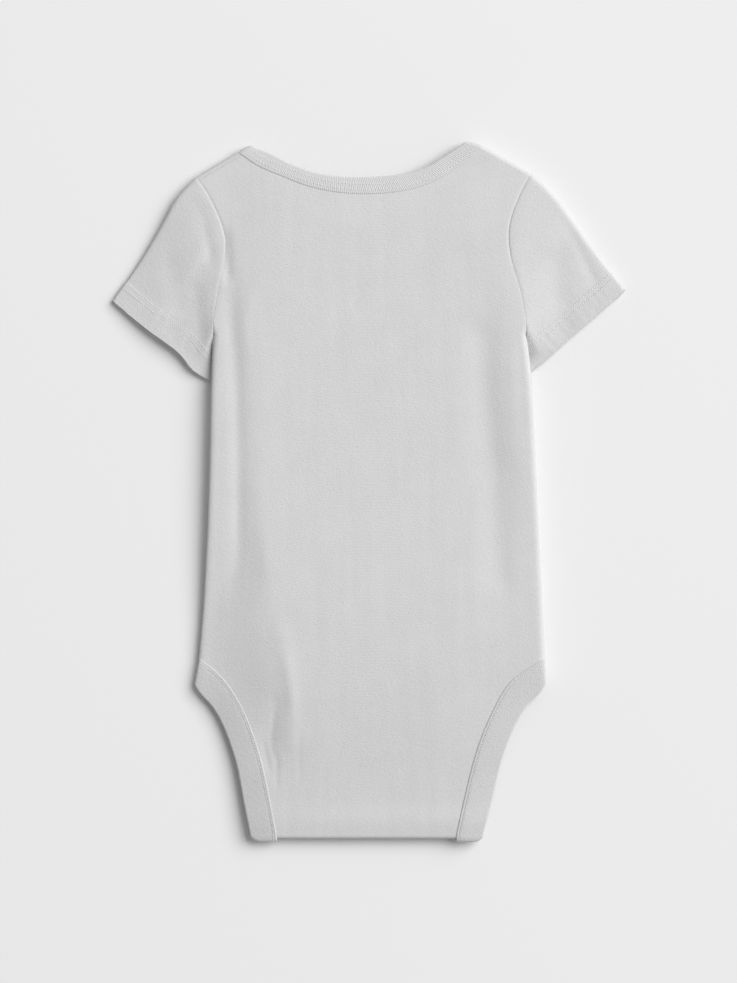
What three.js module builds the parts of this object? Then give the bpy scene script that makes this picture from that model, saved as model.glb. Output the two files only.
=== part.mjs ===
// A baby's short-sleeved bodysuit in cotton jersey, size 6 to 12 months, laid on its front on a table.
// Millimetres. +Z is up, +Y runs to the neck, +X is the wearer's right, and the back of the garment faces up.
// Every piece is a wall of cloth, given by a grid of points on the middle of the wall.
// The front lies on the table, the back lies over it, and soft folds join them down both sides,
// over the shoulders and across the crotch, so the body and the sleeves stay hollow.

import * as THREE from 'three';

// Cloth
const LAYER = 1.2; // wall of one layer of jersey
const BAND = 2.0; // wall of a band folded round a raw edge
const HEM = 1.7; // wall of a sleeve where its hem is turned up
const SEAM = 0.3; // gap between two pieces at a seam
const FLAT = LAYER / 2; // middle of a layer that lies on the table
const FLAT_BAND = BAND / 2; // middle of a band that lies on the table

// Heights of the folds, at the middle of the wall
const SIDE_FOLD = 4.6; // the outermost line of a side fold
const SIDE_RADIUS = 4.0; // how far in from that line the fold is level
const SIDE_GAP = 0.62; // between the two walls' middles there: their edges lean, so 0.3 is left between them
const SHOULDER_RADIUS = 3.15;
const CUFF_FOLD = 3.8; // the folded edges of a sleeve at its cuff
const CUFF_HEIGHT = 3.2; // how far a cuff's layers stand above and below that
const CUFF_CROWN = 0.5;
const HEM_DEPTH = 14;

// Where the back is turned up at the crotch, inside the front flap
const CROTCH_LINE = -206; // where the back starts to turn under
const CROTCH_RADIUS = 1.8;
const CROTCH_BAND_REACH = 3.52; // how far the thick leg bands reach past that line
const TAB_HEIGHT = 5.5; // middle of the turned-up tab
const TAB_END = -180;
const TAB_NARROWING = 0.05;
const FLAP_END = -203.5; // hem of the front flap, under the tab
const FLAP_LIFT = 1.3; // the flap stands on the snaps' rings
const FLAP_LIFT_FROM = -158;
const FLAP_LIFT_LENGTH = 20;

// The front is lifted where it passes over the shoulder laps
const LAP_LIFT = 2.4;
const LAP_RADIUS = 22;
const LAP_RAMP = 10;
const LAPS = {
  left: { from: [-83, 201], to: [-78, 160] },
  right: { from: [76, 203], to: [74, 156] },
};

const FRONT_SCOOP = 3; // the front armhole is cut this much deeper
const UNDERARM_REACH = 11; // how far above the underarm the armhole seam leaves the side fold
const BAND_DROOP = 0.3; // the free edge of a band hangs this much below its seam

// Snaps
const SNAP_LINE = -192;
const SNAP_SPACING = 34;
const SNAP_RADIUS = 4.75;

// Outlines seen from above, as x, y. Each row is one station, from the neck towards the crotch.
const ARMHOLE = [
  { left: [-104, 188.5], right: [98, 190.5] },
  { left: [-95.5, 175.5], right: [90.2, 175.5] },
  { left: [-87.6, 157], right: [84.8, 159] },
  { left: [-86.4, 143], right: [85.2, 142] },
  { left: [-89.6, 122], right: [90, 122] },
  { left: [-93, 101], right: [94, 101] },
  { left: [-93.6, 93.5], right: [95, 93.5] },
];
const SIDE = [
  { left: [-93.6, 93.5], right: [95, 93.5] },
  { left: [-94.5, 60], right: [98.3, 60] },
  { left: [-96, -5], right: [101.3, -5] },
  { left: [-99, -65], right: [104.3, -65] },
  { left: [-102.2, -101.5], right: [106, -101.5] },
];
// A leg band runs from its seam on the panel to its free edge.
const BACK_LEG = [
  { left: [-102.2, -101.5], leftEdge: [-104.8, -114.5], right: [106, -101.5], rightEdge: [106.8, -113] },
  { left: [-91.3, -110], leftEdge: [-100.7, -120.8], right: [94.5, -108.5], rightEdge: [102.7, -119.8] },
  { left: [-82, -121.5], leftEdge: [-92.6, -130], right: [84, -117.5], rightEdge: [95, -127] },
  { left: [-73.6, -137.5], leftEdge: [-85.8, -142.6], right: [74, -135.5], rightEdge: [86.7, -141.4] },
  { left: [-66, -160], leftEdge: [-78.6, -163.6], right: [65.6, -157.5], rightEdge: [79.1, -161.7] },
  { left: [-60.5, -184.5], leftEdge: [-74, -187.2], right: [59, -183.5], rightEdge: [73.2, -186.3] },
  { left: [-56.5, -206], leftEdge: [-70.2, -206], right: [54, -206], rightEdge: [67.9, -206] },
];
const FRONT_LEG = [
  { left: [-102.2, -101.5], leftEdge: [-104.8, -114.5], right: [106, -101.5], rightEdge: [106.8, -113] },
  { left: [-89, -108.5], leftEdge: [-96.5, -119.1], right: [91.5, -108], rightEdge: [99.5, -118.5] },
  { left: [-77.5, -119], leftEdge: [-87.5, -127.2], right: [79.5, -118], rightEdge: [89.8, -126.2] },
  { left: [-68.5, -133.5], leftEdge: [-80.3, -138.9], right: [69.5, -132.5], rightEdge: [81.6, -137.7] },
  { left: [-61.5, -154], leftEdge: [-74.1, -157.3], right: [61.5, -153], rightEdge: [74.4, -156.2] },
  { left: [-57, -178], leftEdge: [-69.9, -179.8], right: [56, -178], rightEdge: [69, -179.8] },
  { left: [-54.5, FLAP_END], leftEdge: [-67.4, FLAP_END], right: [52.5, FLAP_END], rightEdge: [65.5, FLAP_END] },
];
const SLEEVE_FOLD = [
  { left: [-104, 188.5], right: [98, 190.5] },
  { left: [-115.4, 176], right: [109.2, 180] },
  { left: [-125.9, 156.7], right: [120.3, 165.8] },
  { left: [-139.1, 134.6], right: [136, 143.4] },
  { left: [-153.7, 114], right: [153.7, 120.4] },
];
const SLEEVE_HEM = [
  { left: [-153.7, 114], right: [153.7, 120.4] },
  { left: [-133, 97.2], right: [138, 106.7] },
  { left: [-114.5, 83.6], right: [122.5, 93.5] },
  { left: [-105, 72.4], right: [110, 82.4] },
  { left: [-95.3, 65.4], right: [98.7, 71.7] },
];
// Necklines from the wearer's left to right: the seam on the panel and the free edge of the band.
const BACK_NECK = [
  { seam: [-74.2, 201.9], edge: [-68.7, 205.7] },
  { seam: [-64.6, 195.6], edge: [-60, 202.3] },
  { seam: [-50.5, 189.6], edge: [-47.6, 196] },
  { seam: [-34, 183.5], edge: [-32, 190.2] },
  { seam: [-14, 179.9], edge: [-12.8, 187.5] },
  { seam: [8, 179.7], edge: [7, 187.9] },
  { seam: [27, 182.6], edge: [23.7, 189.8] },
  { seam: [41, 188], edge: [36.6, 194.6] },
  { seam: [53.5, 195.5], edge: [47.5, 201.4] },
  { seam: [64.5, 205.3], edge: [56.7, 207.7] },
];
const FRONT_NECK = [
  { seam: [-75, 198.3], edge: [-68.4, 201.7] },
  { seam: [-66, 184], edge: [-59.3, 188.5] },
  { seam: [-50, 168], edge: [-45.5, 174.8] },
  { seam: [-29, 158], edge: [-27, 165.8] },
  { seam: [-3, 154.5], edge: [-3, 162.5] },
  { seam: [22, 158], edge: [20, 165.8] },
  { seam: [42, 168], edge: [37.5, 174.8] },
  { seam: [57, 185], edge: [50.3, 189.5] },
  { seam: [64.5, 201.3], edge: [56.8, 203.8] },
];
// The laps are the ends of the back, turned over the shoulders onto the front: the bound edge of each.
const LAP_EDGE = [
  { left: [-76.7, 200.4], leftEdge: [-71.2, 204.2], right: [67.3, 203.8], rightEdge: [59.5, 206.2] },
  { left: [-74.2, 193], leftEdge: [-66.6, 195.4], right: [64.8, 195], rightEdge: [57, 197.2] },
  { left: [-73.8, 182], leftEdge: [-65.8, 182], right: [64.2, 183], rightEdge: [56.2, 183] },
  { left: [-75.2, 170], leftEdge: [-67.3, 168], right: [65.8, 171], rightEdge: [58, 169] },
  { left: [-78.2, 159], leftEdge: [-71.2, 154.4], right: [69, 160], rightEdge: [62.2, 155.4] },
  { left: [-81.9, 150], leftEdge: [-79.6, 140], right: [78.8, 150], rightEdge: [78, 139.6] },
];

// How the back stands, at the middle of the wall: the rolls down its sides, the troughs inside them and the crown.
const BACK_HEIGHTS = [
  { y: 195, roll: 6.9, trough: 0, crown: 1.0 },
  { y: 165, roll: 7.9, trough: 0.5, crown: 1.8 },
  { y: 110, roll: 8.5, trough: 1.1, crown: 2.4 },
  { y: 0, roll: 8.7, trough: 1.3, crown: 2.6 },
  { y: -85, roll: 8.6, trough: 1.1, crown: 2.2 },
  { y: -130, roll: 8.2, trough: 0.3, crown: 1.9 },
  { y: -180, roll: 8.3, trough: 0, crown: 0.3 },
  { y: -206, roll: 8.5, trough: 0, crown: 1.0 },
];
const TROUGH = { left: 31, right: 37, width: 13 }; // how far in from each edge, and how wide
const CROWN_FROM = 30;
const CROWN_LENGTH = 45;

// The largest soft folds, as troughs (depth below zero) and ridges along a line seen from above.
const BACK_FOLDS = [
  { from: [-50, 120], to: [-40, -110], width: 8, depth: 0.7 }, // ridge beside the left trough
  { from: [-47, -120], to: [-57, -160], width: 7, depth: -0.8 }, // trough into the left leg
  { from: [50, 90], to: [56, -70], width: 8, depth: 0.4 }, // ridge beside the right trough
];
const SLEEVE_FOLDS = [
  { from: [-101, 172], to: [-94, 148], width: 4, depth: -1.0 }, // left, beside the armhole
  { from: [-122, 150], to: [-113, 112], width: 7, depth: -0.8 }, // left, down to the cuff
  { from: [121, 150], to: [139, 118], width: 5, depth: -1.1 }, // right, beside its folded edge
  { from: [112, 136], to: [116, 98], width: 8, depth: -0.6 }, // right, down to the cuff
];

// Samples: how far in from a fold's outermost line its points lie, as shares of the fold's radius
const FOLD_SHARES = [0, 0.134, 0.5, 1];
const BODY_COLUMNS = 14; // across the level middle of the body
const SHOULDER_COLUMNS = 5; // of the body's columns, those that end at a shoulder
const ARMHOLE_SHARES = [0.13, 0.25, 0.37, 0.49, 0.61, 0.72, 0.81, 0.886, 0.966, 1];
const LAP_ROWS = 4; // of the armhole's shares, those that the lap reaches
const SIDE_SHARES = [0.11, 0.22, 0.34, 0.46, 0.58, 0.7, 0.81, 0.91, 1];
const LEG_SHARES = [0.015, 0.05, 0.1, 0.167, 0.25, 0.333, 0.44, 0.56, 0.68, 0.8, 0.91, 1];
const TURN_ANGLES = [45, 90, 135, 180];
const TAB_SHARES = [0.35, 0.7, 1];
const BAND_COLUMNS = [0, 0.35, 0.75, 1];
const SLEEVE_SECTIONS = [0, 0.12, 0.27, 0.42, 0.57, 0.7, 0.8, 0.88, 1];
const CUFF_SHARES = [0, 0.012, 0.04, 0.13, 0.24, 0.34, 0.44, 0.54, 0.63, 0.72, 0.81, 0.91, 1];

const SIGNS = { left: -1, right: 1 };
const ALONG_X = new THREE.Vector2(1, 0);
const ALONG_Y = new THREE.Vector2(0, 1);

const clamp01 = (x) => Math.min(1, Math.max(0, x));
const ease = (x) => clamp01(x) ** 2 * (3 - 2 * clamp01(x));
const mix = (a, b, share) => a + (b - a) * share;
const vector2 = ([x, y]) => new THREE.Vector2(x, y);
const curveOf = (table, column) => new THREE.SplineCurve(table.map((row) => vector2(row[column])));

// A point on a seam knows the direction across the seam, so that the two walls' edges there stay parallel.
const onSeam = (point, across) => Object.assign(point, { across });
const lifted = (point, z) => onSeam(new THREE.Vector3(point.x, point.y, z), point.across);

// How high a fold stands, from 0 on its outermost line to 1 where it is level.
const foldShape = (inset, radius) => Math.sqrt(1 - (1 - clamp01(inset / radius)) ** 2);

// The direction towards the garment's middle from a line that runs down it.
const inwardOf = (tangent, side) => new THREE.Vector2(-tangent.y, tangent.x).multiplyScalar(-SIGNS[side]);

function insetPoint(curve, share, side, distance) {
  return curve.getPointAt(share).addScaledVector(inwardOf(curve.getTangentAt(share), side), distance);
}

function distanceToLine(point, from, to) {
  const start = vector2(from);
  const line = vector2(to).sub(start);
  const share = clamp01(point.clone().sub(start).dot(line) / line.lengthSq());
  return start.addScaledVector(line, share).distanceTo(point);
}

// The largest folds at a point seen from above.
function foldsAt(point, folds) {
  let height = 0;
  for (const fold of folds) {
    const distance = distanceToLine(point, fold.from, fold.to);
    height += fold.depth * Math.exp(-((distance / fold.width) ** 2));
  }
  return height;
}

// The back's heights at one place down the garment, eased between the table's stations.
function heightsAt(y) {
  const after = BACK_HEIGHTS.findIndex((row) => row.y <= y);
  if (after === 0) return BACK_HEIGHTS[0];
  if (after < 0) return BACK_HEIGHTS[BACK_HEIGHTS.length - 1];
  const [above, below] = [BACK_HEIGHTS[after - 1], BACK_HEIGHTS[after]];
  const share = ease((above.y - y) / (above.y - below.y));
  const between = (column) => mix(above[column], below[column], share);
  return { roll: between('roll'), trough: between('trough'), crown: between('crown') };
}

// A closed wall of cloth round a grid of middle points: rows of columns, null where there is no cloth.
// The columns close on themselves where the cloth is a tube.
function clothWall(name, grid, { thickness = () => LAYER, tube = false } = {}) {
  const columns = grid[0].length;
  const quads = [];
  for (let row = 0; row + 1 < grid.length; row += 1) {
    for (let column = 0; column < (tube ? columns : columns - 1); column += 1) {
      const next = (column + 1) % columns;
      const corners = [[row, column], [row, next], [row + 1, next], [row + 1, column]];
      if (corners.every(([r, c]) => grid[r][c])) quads.push(corners);
    }
  }

  const key = ([row, column]) => row * columns + column;
  const at = ([row, column]) => grid[row][column];
  const corners = new Map();
  for (const quad of quads) {
    const [a, b, c, d] = quad.map(at);
    const quadNormal = c.clone().sub(a).cross(d.clone().sub(b));
    for (const corner of quad) {
      if (!corners.has(key(corner))) corners.set(key(corner), { corner, normal: new THREE.Vector3() });
      corners.get(key(corner)).normal.add(quadNormal);
    }
  }

  const positions = [];
  for (const place of corners.values()) {
    const { corner, normal } = place;
    const { across } = at(corner);
    if (across) {
      const sideways = new THREE.Vector3(across.x, across.y, 0).normalize();
      normal.addScaledVector(sideways, -normal.dot(sideways));
    }
    normal.setLength(thickness(...corner) / 2);
    place.outer = positions.length / 3;
    positions.push(...at(corner).clone().add(normal).toArray());
    place.inner = positions.length / 3;
    positions.push(...at(corner).clone().sub(normal).toArray());
  }

  const triangles = [];
  const face = (a, b, c, d) => triangles.push(a, b, c, a, c, d);
  const edges = new Map();
  for (const quad of quads) {
    const keys = quad.map(key);
    const [a, b, c, d] = keys.map((k) => corners.get(k));
    face(a.outer, b.outer, c.outer, d.outer);
    face(a.inner, d.inner, c.inner, b.inner);
    keys.forEach((from, i) => {
      const to = keys[(i + 1) % 4];
      if (edges.has(`${to},${from}`)) edges.delete(`${to},${from}`);
      else edges.set(`${from},${to}`, [corners.get(from), corners.get(to)]);
    });
  }
  for (const [from, to] of edges.values()) {
    face(to.outer, from.outer, from.inner, to.inner);
  }
  return solid(name, positions, triangles, jersey());
}

// A mesh whose faces point out, whichever way round its triangles were listed.
function solid(name, positions, triangles, material) {
  const corner = (index) => new THREE.Vector3().fromArray(positions, 3 * index);
  let volume = 0;
  for (let i = 0; i < triangles.length; i += 3) {
    const [a, b, c] = triangles.slice(i, i + 3).map(corner);
    volume += a.dot(b.cross(c)) / 6;
  }
  const geometry = new THREE.BufferGeometry();
  geometry.setAttribute('position', new THREE.Float32BufferAttribute(positions, 3));
  geometry.setIndex(volume < 0 ? [...triangles].reverse() : triangles);
  geometry.computeVertexNormals();
  const mesh = new THREE.Mesh(geometry, material);
  mesh.name = name;
  return mesh;
}

const jersey = () => new THREE.MeshStandardMaterial({ color: 0xcfcfcf, roughness: 0.95, metalness: 0 });
const snapMetal = () => new THREE.MeshStandardMaterial({ color: 0xd6d6d4, roughness: 0.35, metalness: 0.6 });

// Places across the body: close together on the side folds, and even between them.
const bodyShares = (() => {
  const width = SIDE[2].right[0] - SIDE[2].left[0];
  const fold = FOLD_SHARES.map((share) => (share * SIDE_RADIUS) / width);
  const reach = fold[fold.length - 1];
  const middle = Array.from({ length: BODY_COLUMNS - 1 }, (_, i) => mix(reach, 1 - reach, (i + 1) / BODY_COLUMNS));
  return [...fold, ...middle, ...fold.map((share) => 1 - share).reverse()];
})();
const shoulderShares = bodyShares.slice(0, SHOULDER_COLUMNS + 1).map((share) => share / bodyShares[SHOULDER_COLUMNS]);
const neckSegments = bodyShares.length - 1 - 2 * SHOULDER_COLUMNS;

const curves = {
  armhole: { left: curveOf(ARMHOLE, 'left'), right: curveOf(ARMHOLE, 'right') },
  side: { left: curveOf(SIDE, 'left'), right: curveOf(SIDE, 'right') },
  backNeck: { seam: curveOf(BACK_NECK, 'seam'), edge: curveOf(BACK_NECK, 'edge') },
  frontNeck: { seam: curveOf(FRONT_NECK, 'seam'), edge: curveOf(FRONT_NECK, 'edge') },
};
const LEG = { back: BACK_LEG, front: FRONT_LEG };

// A neckline's seam at each of the panel's columns, moved towards the opening by a gap.
function neckPoints(neck, gap) {
  return Array.from({ length: neckSegments + 1 }, (_, i) => {
    const point = neck.seam.getPointAt(i / neckSegments);
    const across = neck.edge.getPointAt(i / neckSegments).sub(point).normalize();
    return onSeam(point.addScaledVector(across, gap), across);
  });
}

// Rows that turn through a half circle: how far each lies inside the fold's outermost line.
const turnInset = (angle, radius) => radius * (1 - Math.sin(THREE.MathUtils.degToRad(angle))) + FLAT;
const turnHeight = (angle, top, low) => mix(top, low, (1 - Math.cos(THREE.MathUtils.degToRad(angle))) / 2);

// The shoulder fold: its outermost line from the armhole to the neck, and the ways in from it.
const NECK_POINT = { left: new THREE.Vector2(-77.3, 204.4), right: new THREE.Vector2(67.4, 208) };
const NECK_PEAK = { left: new THREE.Vector2(-71.8, 208.2), right: new THREE.Vector2(59.5, 210.4) };
const NECK_WAY = { left: new THREE.Vector2(0.83, -0.66), right: new THREE.Vector2(-0.773, -0.709) };
const LAP_WAY = { left: new THREE.Vector2(0.16, -1.08), right: new THREE.Vector2(-0.03, -1.13) };

function shoulderInward(side) {
  const along = NECK_POINT[side].clone().sub(vector2(ARMHOLE[0][side])).normalize();
  return new THREE.Vector2(along.y, -along.x).multiplyScalar(-SIGNS[side]);
}

// The way down the shoulder's end at the neck turns from the back's neckline to the lap's bound edge.
const shoulderWay = (side, angle) => NECK_WAY[side].clone().lerp(LAP_WAY[side], angle / 180);

const shoulderShare = (side, angle = 0) => turnInset(angle, SHOULDER_RADIUS) / curves.armhole[side].getLength();
const armholeShares = (side) => [shoulderShare(side), ...ARMHOLE_SHARES];

// The armhole seam of the back or the front, share 0 on the shoulder and 1 at the underarm, where the body
// and the sleeve lie side by side.
function armholePoint(side, layer, share, gap) {
  const curve = curves.armhole[side];
  const across = inwardOf(curve.getTangentAt(share), side);
  const point = curve.getPointAt(share).addScaledVector(across, gap);
  if (layer === 'front') point.x -= SIGNS[side] * FRONT_SCOOP * Math.sin(Math.PI * share);
  point.x -= SIGNS[side] * Math.sign(gap) * FLAT * clamp01((share - 0.9) / 0.1) ** 3;
  return share < 1 ? onSeam(point, across) : point;
}

// How far inside the side fold's outermost line the armhole seam lies, near the underarm.
const armholeInset = (share) => ((1 - share) * curves.armhole.left.getLength() * SIDE_RADIUS) / UNDERARM_REACH;

// The leg seam of the back or the front, from the hip to the crotch. half is half the wall of the piece.
function legPoint(side, layer, share, gap, half) {
  const curve = curveOf(LEG[layer], side);
  const point = curve.getPoint(share);
  const inset = SIGNS[side] * (LEG[layer][0][side][0] - point.x);
  const across = inwardOf(curve.getTangent(share), side);
  across.lerp(ALONG_Y, 1 - foldShape(inset, SIDE_RADIUS)).normalize();
  point.addScaledVector(across, gap);
  point.x -= SIGNS[side] * Math.max(0, half - inset);
  return { point: onSeam(point, across), inset };
}

// The left or right edge of the back or the front, from the shoulder to the crotch, with each point's inset
// from the side fold's outermost line.
function panelEdge(side, layer) {
  const armhole = armholeShares(side).map((share) => (
    { point: armholePoint(side, layer, share, SEAM / 2), inset: armholeInset(share) }));
  const sides = SIDE_SHARES.map((share) => ({ point: insetPoint(curves.side[side], share, side, FLAT), inset: 0 }));
  const leg = LEG_SHARES.map((share) => legPoint(side, layer, share, SEAM / 2, FLAT));
  sides[sides.length - 1] = legPoint(side, layer, 0, SEAM / 2, FLAT);
  return [...armhole, ...sides, ...leg];
}

// A panel's grid between its two edges, its neckline and a straight end at the crotch.
function panelGrid(layer, heightAt) {
  const left = panelEdge('left', layer);
  const right = panelEdge('right', layer);
  const neck = neckPoints(layer === 'back' ? curves.backNeck : curves.frontNeck, 0);
  const onShoulder = shoulderShares.slice(0, -1);
  const top = [
    ...onShoulder.map((share) => left[0].point.clone().lerp(neck[0], share)),
    ...neck,
    ...onShoulder.map((share) => right[0].point.clone().lerp(neck[neckSegments], share)).reverse(),
  ];
  return left.map((start, row) => {
    const end = right[row];
    const down = row / (left.length - 1);
    const points = bodyShares.map((share, column) => {
      const shift = top[column].clone().sub(top[0].clone().lerp(top[top.length - 1], share));
      return start.point.clone().lerp(end.point, share).addScaledVector(shift, (1 - down) ** 2);
    });
    if (row === 0) neck.forEach((point, i) => onSeam(points[SHOULDER_COLUMNS + i], point.across));
    onSeam(points[0], start.point.across);
    onSeam(points[points.length - 1], end.point.across);
    return points.map((point) => {
      const leftWay = point.x - start.point.x;
      const rightWay = end.point.x - point.x;
      const shape = foldShape(start.inset + leftWay, SIDE_RADIUS) * foldShape(end.inset + rightWay, SIDE_RADIUS);
      return lifted(point, heightAt(point, shape, leftWay, rightWay));
    });
  });
}

// The middle of the back's wall, above a point between its edges.
function backHeight(point, shape, leftWay, rightWay) {
  const { roll, trough, crown } = heightsAt(point.y);
  const dip = Math.exp(-(((leftWay - TROUGH.left) / TROUGH.width) ** 2))
    + Math.exp(-(((rightWay - TROUGH.right) / TROUGH.width) ** 2));
  const rise = ease((Math.min(leftWay, rightWay) - CROWN_FROM) / CROWN_LENGTH);
  const level = roll - trough * dip + crown * rise + foldsAt(point, BACK_FOLDS);
  return mix(SIDE_FOLD + SIDE_GAP / 2, level, shape);
}

// How much the front is lifted over the shoulder laps and the snaps.
function frontLift(point) {
  const laps = Object.values(LAPS).map(({ from, to }) => distanceToLine(point, from, to));
  const overLap = 1 - ease((Math.min(...laps) - LAP_RADIUS) / LAP_RAMP);
  const overSnaps = ease((FLAP_LIFT_FROM - point.y) / FLAP_LIFT_LENGTH);
  return LAP_LIFT * overLap + FLAP_LIFT * overSnaps;
}

const frontHeight = (point, shape) => mix(SIDE_FOLD - SIDE_GAP / 2, FLAT + frontLift(point), shape);

// A point of the shoulder turn. The across share runs from the armhole to the neck.
function shoulderTurn(side, angle, share, top) {
  const layer = angle <= 90 ? 'back' : 'front';
  const atArmhole = armholePoint(side, layer, shoulderShare(side, angle), SEAM / 2);
  const neckWay = shoulderWay(side, angle);
  const atNeck = NECK_POINT[side].clone().addScaledVector(neckWay, turnInset(angle, SHOULDER_RADIUS));
  const point = atArmhole.clone().lerp(atNeck, share);
  if (share === 0) onSeam(point, atArmhole.across);
  if (share === 1) onSeam(point, inwardOf(neckWay, side));
  return lifted(point, turnHeight(angle, top, FLAT));
}

// A lap as rows of cloth that go on from the back over the shoulder, in the back's own columns.
function lapRows(side, backRow) {
  const ownColumn = (i) => (side === 'left' ? i : backRow.length - 1 - i);
  const rowOf = (pointAt) => {
    const row = new Array(backRow.length).fill(null);
    shoulderShares.forEach((share, i) => {
      row[ownColumn(i)] = pointAt(share, backRow[ownColumn(i)]);
    });
    return row;
  };
  const turned = TURN_ANGLES.map((angle) => rowOf((share, above) => shoulderTurn(side, angle, share, above.z)));
  const flat = ARMHOLE_SHARES.slice(0, LAP_ROWS).map((armholeShare) => {
    const atArmhole = armholePoint(side, 'front', armholeShare, SEAM / 2);
    const edge = lapEdge(side, armholeShare);
    return rowOf((share) => {
      const point = atArmhole.clone().lerp(edge.seam, share);
      if (share === 0) onSeam(point, atArmhole.across);
      if (share === 1) onSeam(point, edge.across);
      return lifted(point, FLAT);
    });
  });
  return [...turned, ...flat];
}

// The bound edge of a lap, level with a place on the armhole seam.
function lapEdge(side, armholeShare) {
  const from = shoulderShare(side);
  const down = (armholeShare - from) / (ARMHOLE_SHARES[LAP_ROWS - 1] - from);
  const seam = curveOf(LAP_EDGE, side).getPointAt(down);
  const edge = curveOf(LAP_EDGE, `${side}Edge`).getPointAt(down);
  return { seam, edge, across: edge.clone().sub(seam).normalize() };
}

// Rows that turn a piece of the back under at the crotch and up again beside the snaps.
function tabRows(lastRow, reaches) {
  const place = (point, x, y, z) => onSeam(new THREE.Vector3(x, y, z), point.across && ALONG_X);
  const turned = TURN_ANGLES.map((angle) => {
    const reach = Math.sin(THREE.MathUtils.degToRad(angle));
    return lastRow.map((point, column) =>
      place(point, point.x, point.y - reaches[column] * reach, turnHeight(angle, point.z, TAB_HEIGHT)));
  });
  const flat = TAB_SHARES.map((share) => lastRow.map((point) =>
    place(point, point.x * (1 - TAB_NARROWING * share), mix(CROTCH_LINE, TAB_END, share), TAB_HEIGHT)));
  return [...turned, ...flat];
}

const backBody = panelGrid('back', backHeight);

function backPanel() {
  const leftLap = lapRows('left', backBody[0]);
  const rightLap = lapRows('right', backBody[0]);
  const laps = leftLap.map((row, i) => row.map((point, column) => point ?? rightLap[i][column]));
  const last = backBody[backBody.length - 1];
  return clothWall('back_panel', [...laps.reverse(), ...backBody, ...tabRows(last, last.map(() => CROTCH_RADIUS))]);
}

const frontPanel = () => clothWall('front_panel', panelGrid('front', frontHeight));

// A sleeve is a tube: its back layer from the folded top edge to the underarm, and its front layer back again.
function sleeve(side) {
  const fold = curveOf(SLEEVE_FOLD, side);
  const hem = curveOf(SLEEVE_HEM, side);
  const turned = TURN_ANGLES.slice(0, 2).reverse();
  const layers = {};
  for (const layer of ['back', 'front']) {
    const turns = turned.map((angle) => ({ angle, share: shoulderShare(side, angle) }));
    const stations = [...turns, ...armholeShares(side).map((share) => ({ angle: 0, share }))];
    const top = stations.map(({ share }) => armholePoint(side, layer, share, -SEAM / 2));
    const bottom = CUFF_SHARES.map((share) => hem.getPoint(share));
    layers[layer] = SLEEVE_SECTIONS.map((along, section) => {
      const extra = (sleeveThickness(fold, section) - LAYER) / 2;
      const onFold = curvePoint(fold, along, side, FLAT + extra, top[0], bottom[0]);
      const onUnderarm = top[top.length - 1].clone().lerp(bottom[bottom.length - 1], along);
      return CUFF_SHARES.map((share, i) => {
        const topShift = top[i].clone().sub(top[0].clone().lerp(top[top.length - 1], share));
        const bottomShift = bottom[i].clone().sub(bottom[0].clone().lerp(bottom[bottom.length - 1], share));
        const point = onFold.clone().lerp(onUnderarm, share);
        point.addScaledVector(topShift, 1 - along).addScaledVector(bottomShift, along);
        const height = sleeveHeight(side, layer, point, top[i], stations[i], share, along, extra);
        return lifted(section === 0 ? onSeam(point, top[i].across) : point, height);
      });
    });
  }
  const rings = SLEEVE_SECTIONS.map((_, section) => [
    ...layers.back[section],
    ...layers.front[section].slice(1, -1).reverse(),
  ]);
  const thickness = (section) => sleeveThickness(fold, section);
  return clothWall(`sleeve_${side}`, rings, { thickness, tube: true });
}

function sleeveThickness(fold, section) {
  return SLEEVE_SECTIONS[section] > 1 - HEM_DEPTH / fold.getLength() ? HEM : LAYER;
}

// A point just inside a sleeve's folded edge; the edge's two ends are given.
function curvePoint(curve, share, side, inset, start, end) {
  if (share === 0) return start.clone();
  if (share === 1) return end.clone();
  return curve.getPoint(share).addScaledVector(inwardOf(curve.getTangent(share), side), inset);
}

// Height of a sleeve's layer: the armhole's own height at the body, and a flat oval at the cuff.
function sleeveHeight(side, layer, point, armhole, station, cuffShare, along, extra) {
  const angle = layer === 'back' ? station.angle : 180 - station.angle;
  const raised = foldShape(armholeInset(station.share), SIDE_RADIUS);
  const top = mix(SIDE_FOLD, heightsAt(armhole.y).roll, raised);
  const low = mix(SIDE_FOLD, FLAT, raised);
  const atBody = turnHeight(angle, top, low);
  const way = layer === 'back' ? 1 : -1;
  const open = foldShape(Math.min(cuffShare, 1 - cuffShare), CUFF_SHARES[2]);
  const crown = layer === 'back' ? CUFF_CROWN * Math.sin(Math.PI * cuffShare) : 0;
  const atCuff = CUFF_FOLD + way * CUFF_HEIGHT * open + crown;
  const folds = layer === 'back' ? foldsAt(point, SLEEVE_FOLDS) * Math.sin(Math.PI * cuffShare) * ease(along * 4) : 0;
  return mix(atBody, atCuff, ease(along)) + folds - way * extra * open;
}

// A band from its seam points and free edge points, thinner at the free edge.
function bandWall(name, rows) {
  const grid = rows.map(({ seam, edge }) => BAND_COLUMNS.map((share) => {
    const point = seam.clone().lerp(edge, share);
    return share === 0 ? onSeam(point, seam.across) : point;
  }));
  return bandFromGrid(name, grid);
}

function bandFromGrid(name, grid) {
  const last = BAND_COLUMNS.length - 1;
  return clothWall(name, grid, { thickness: (_, column) => (column === last ? BAND * 0.6 : BAND) });
}

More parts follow.
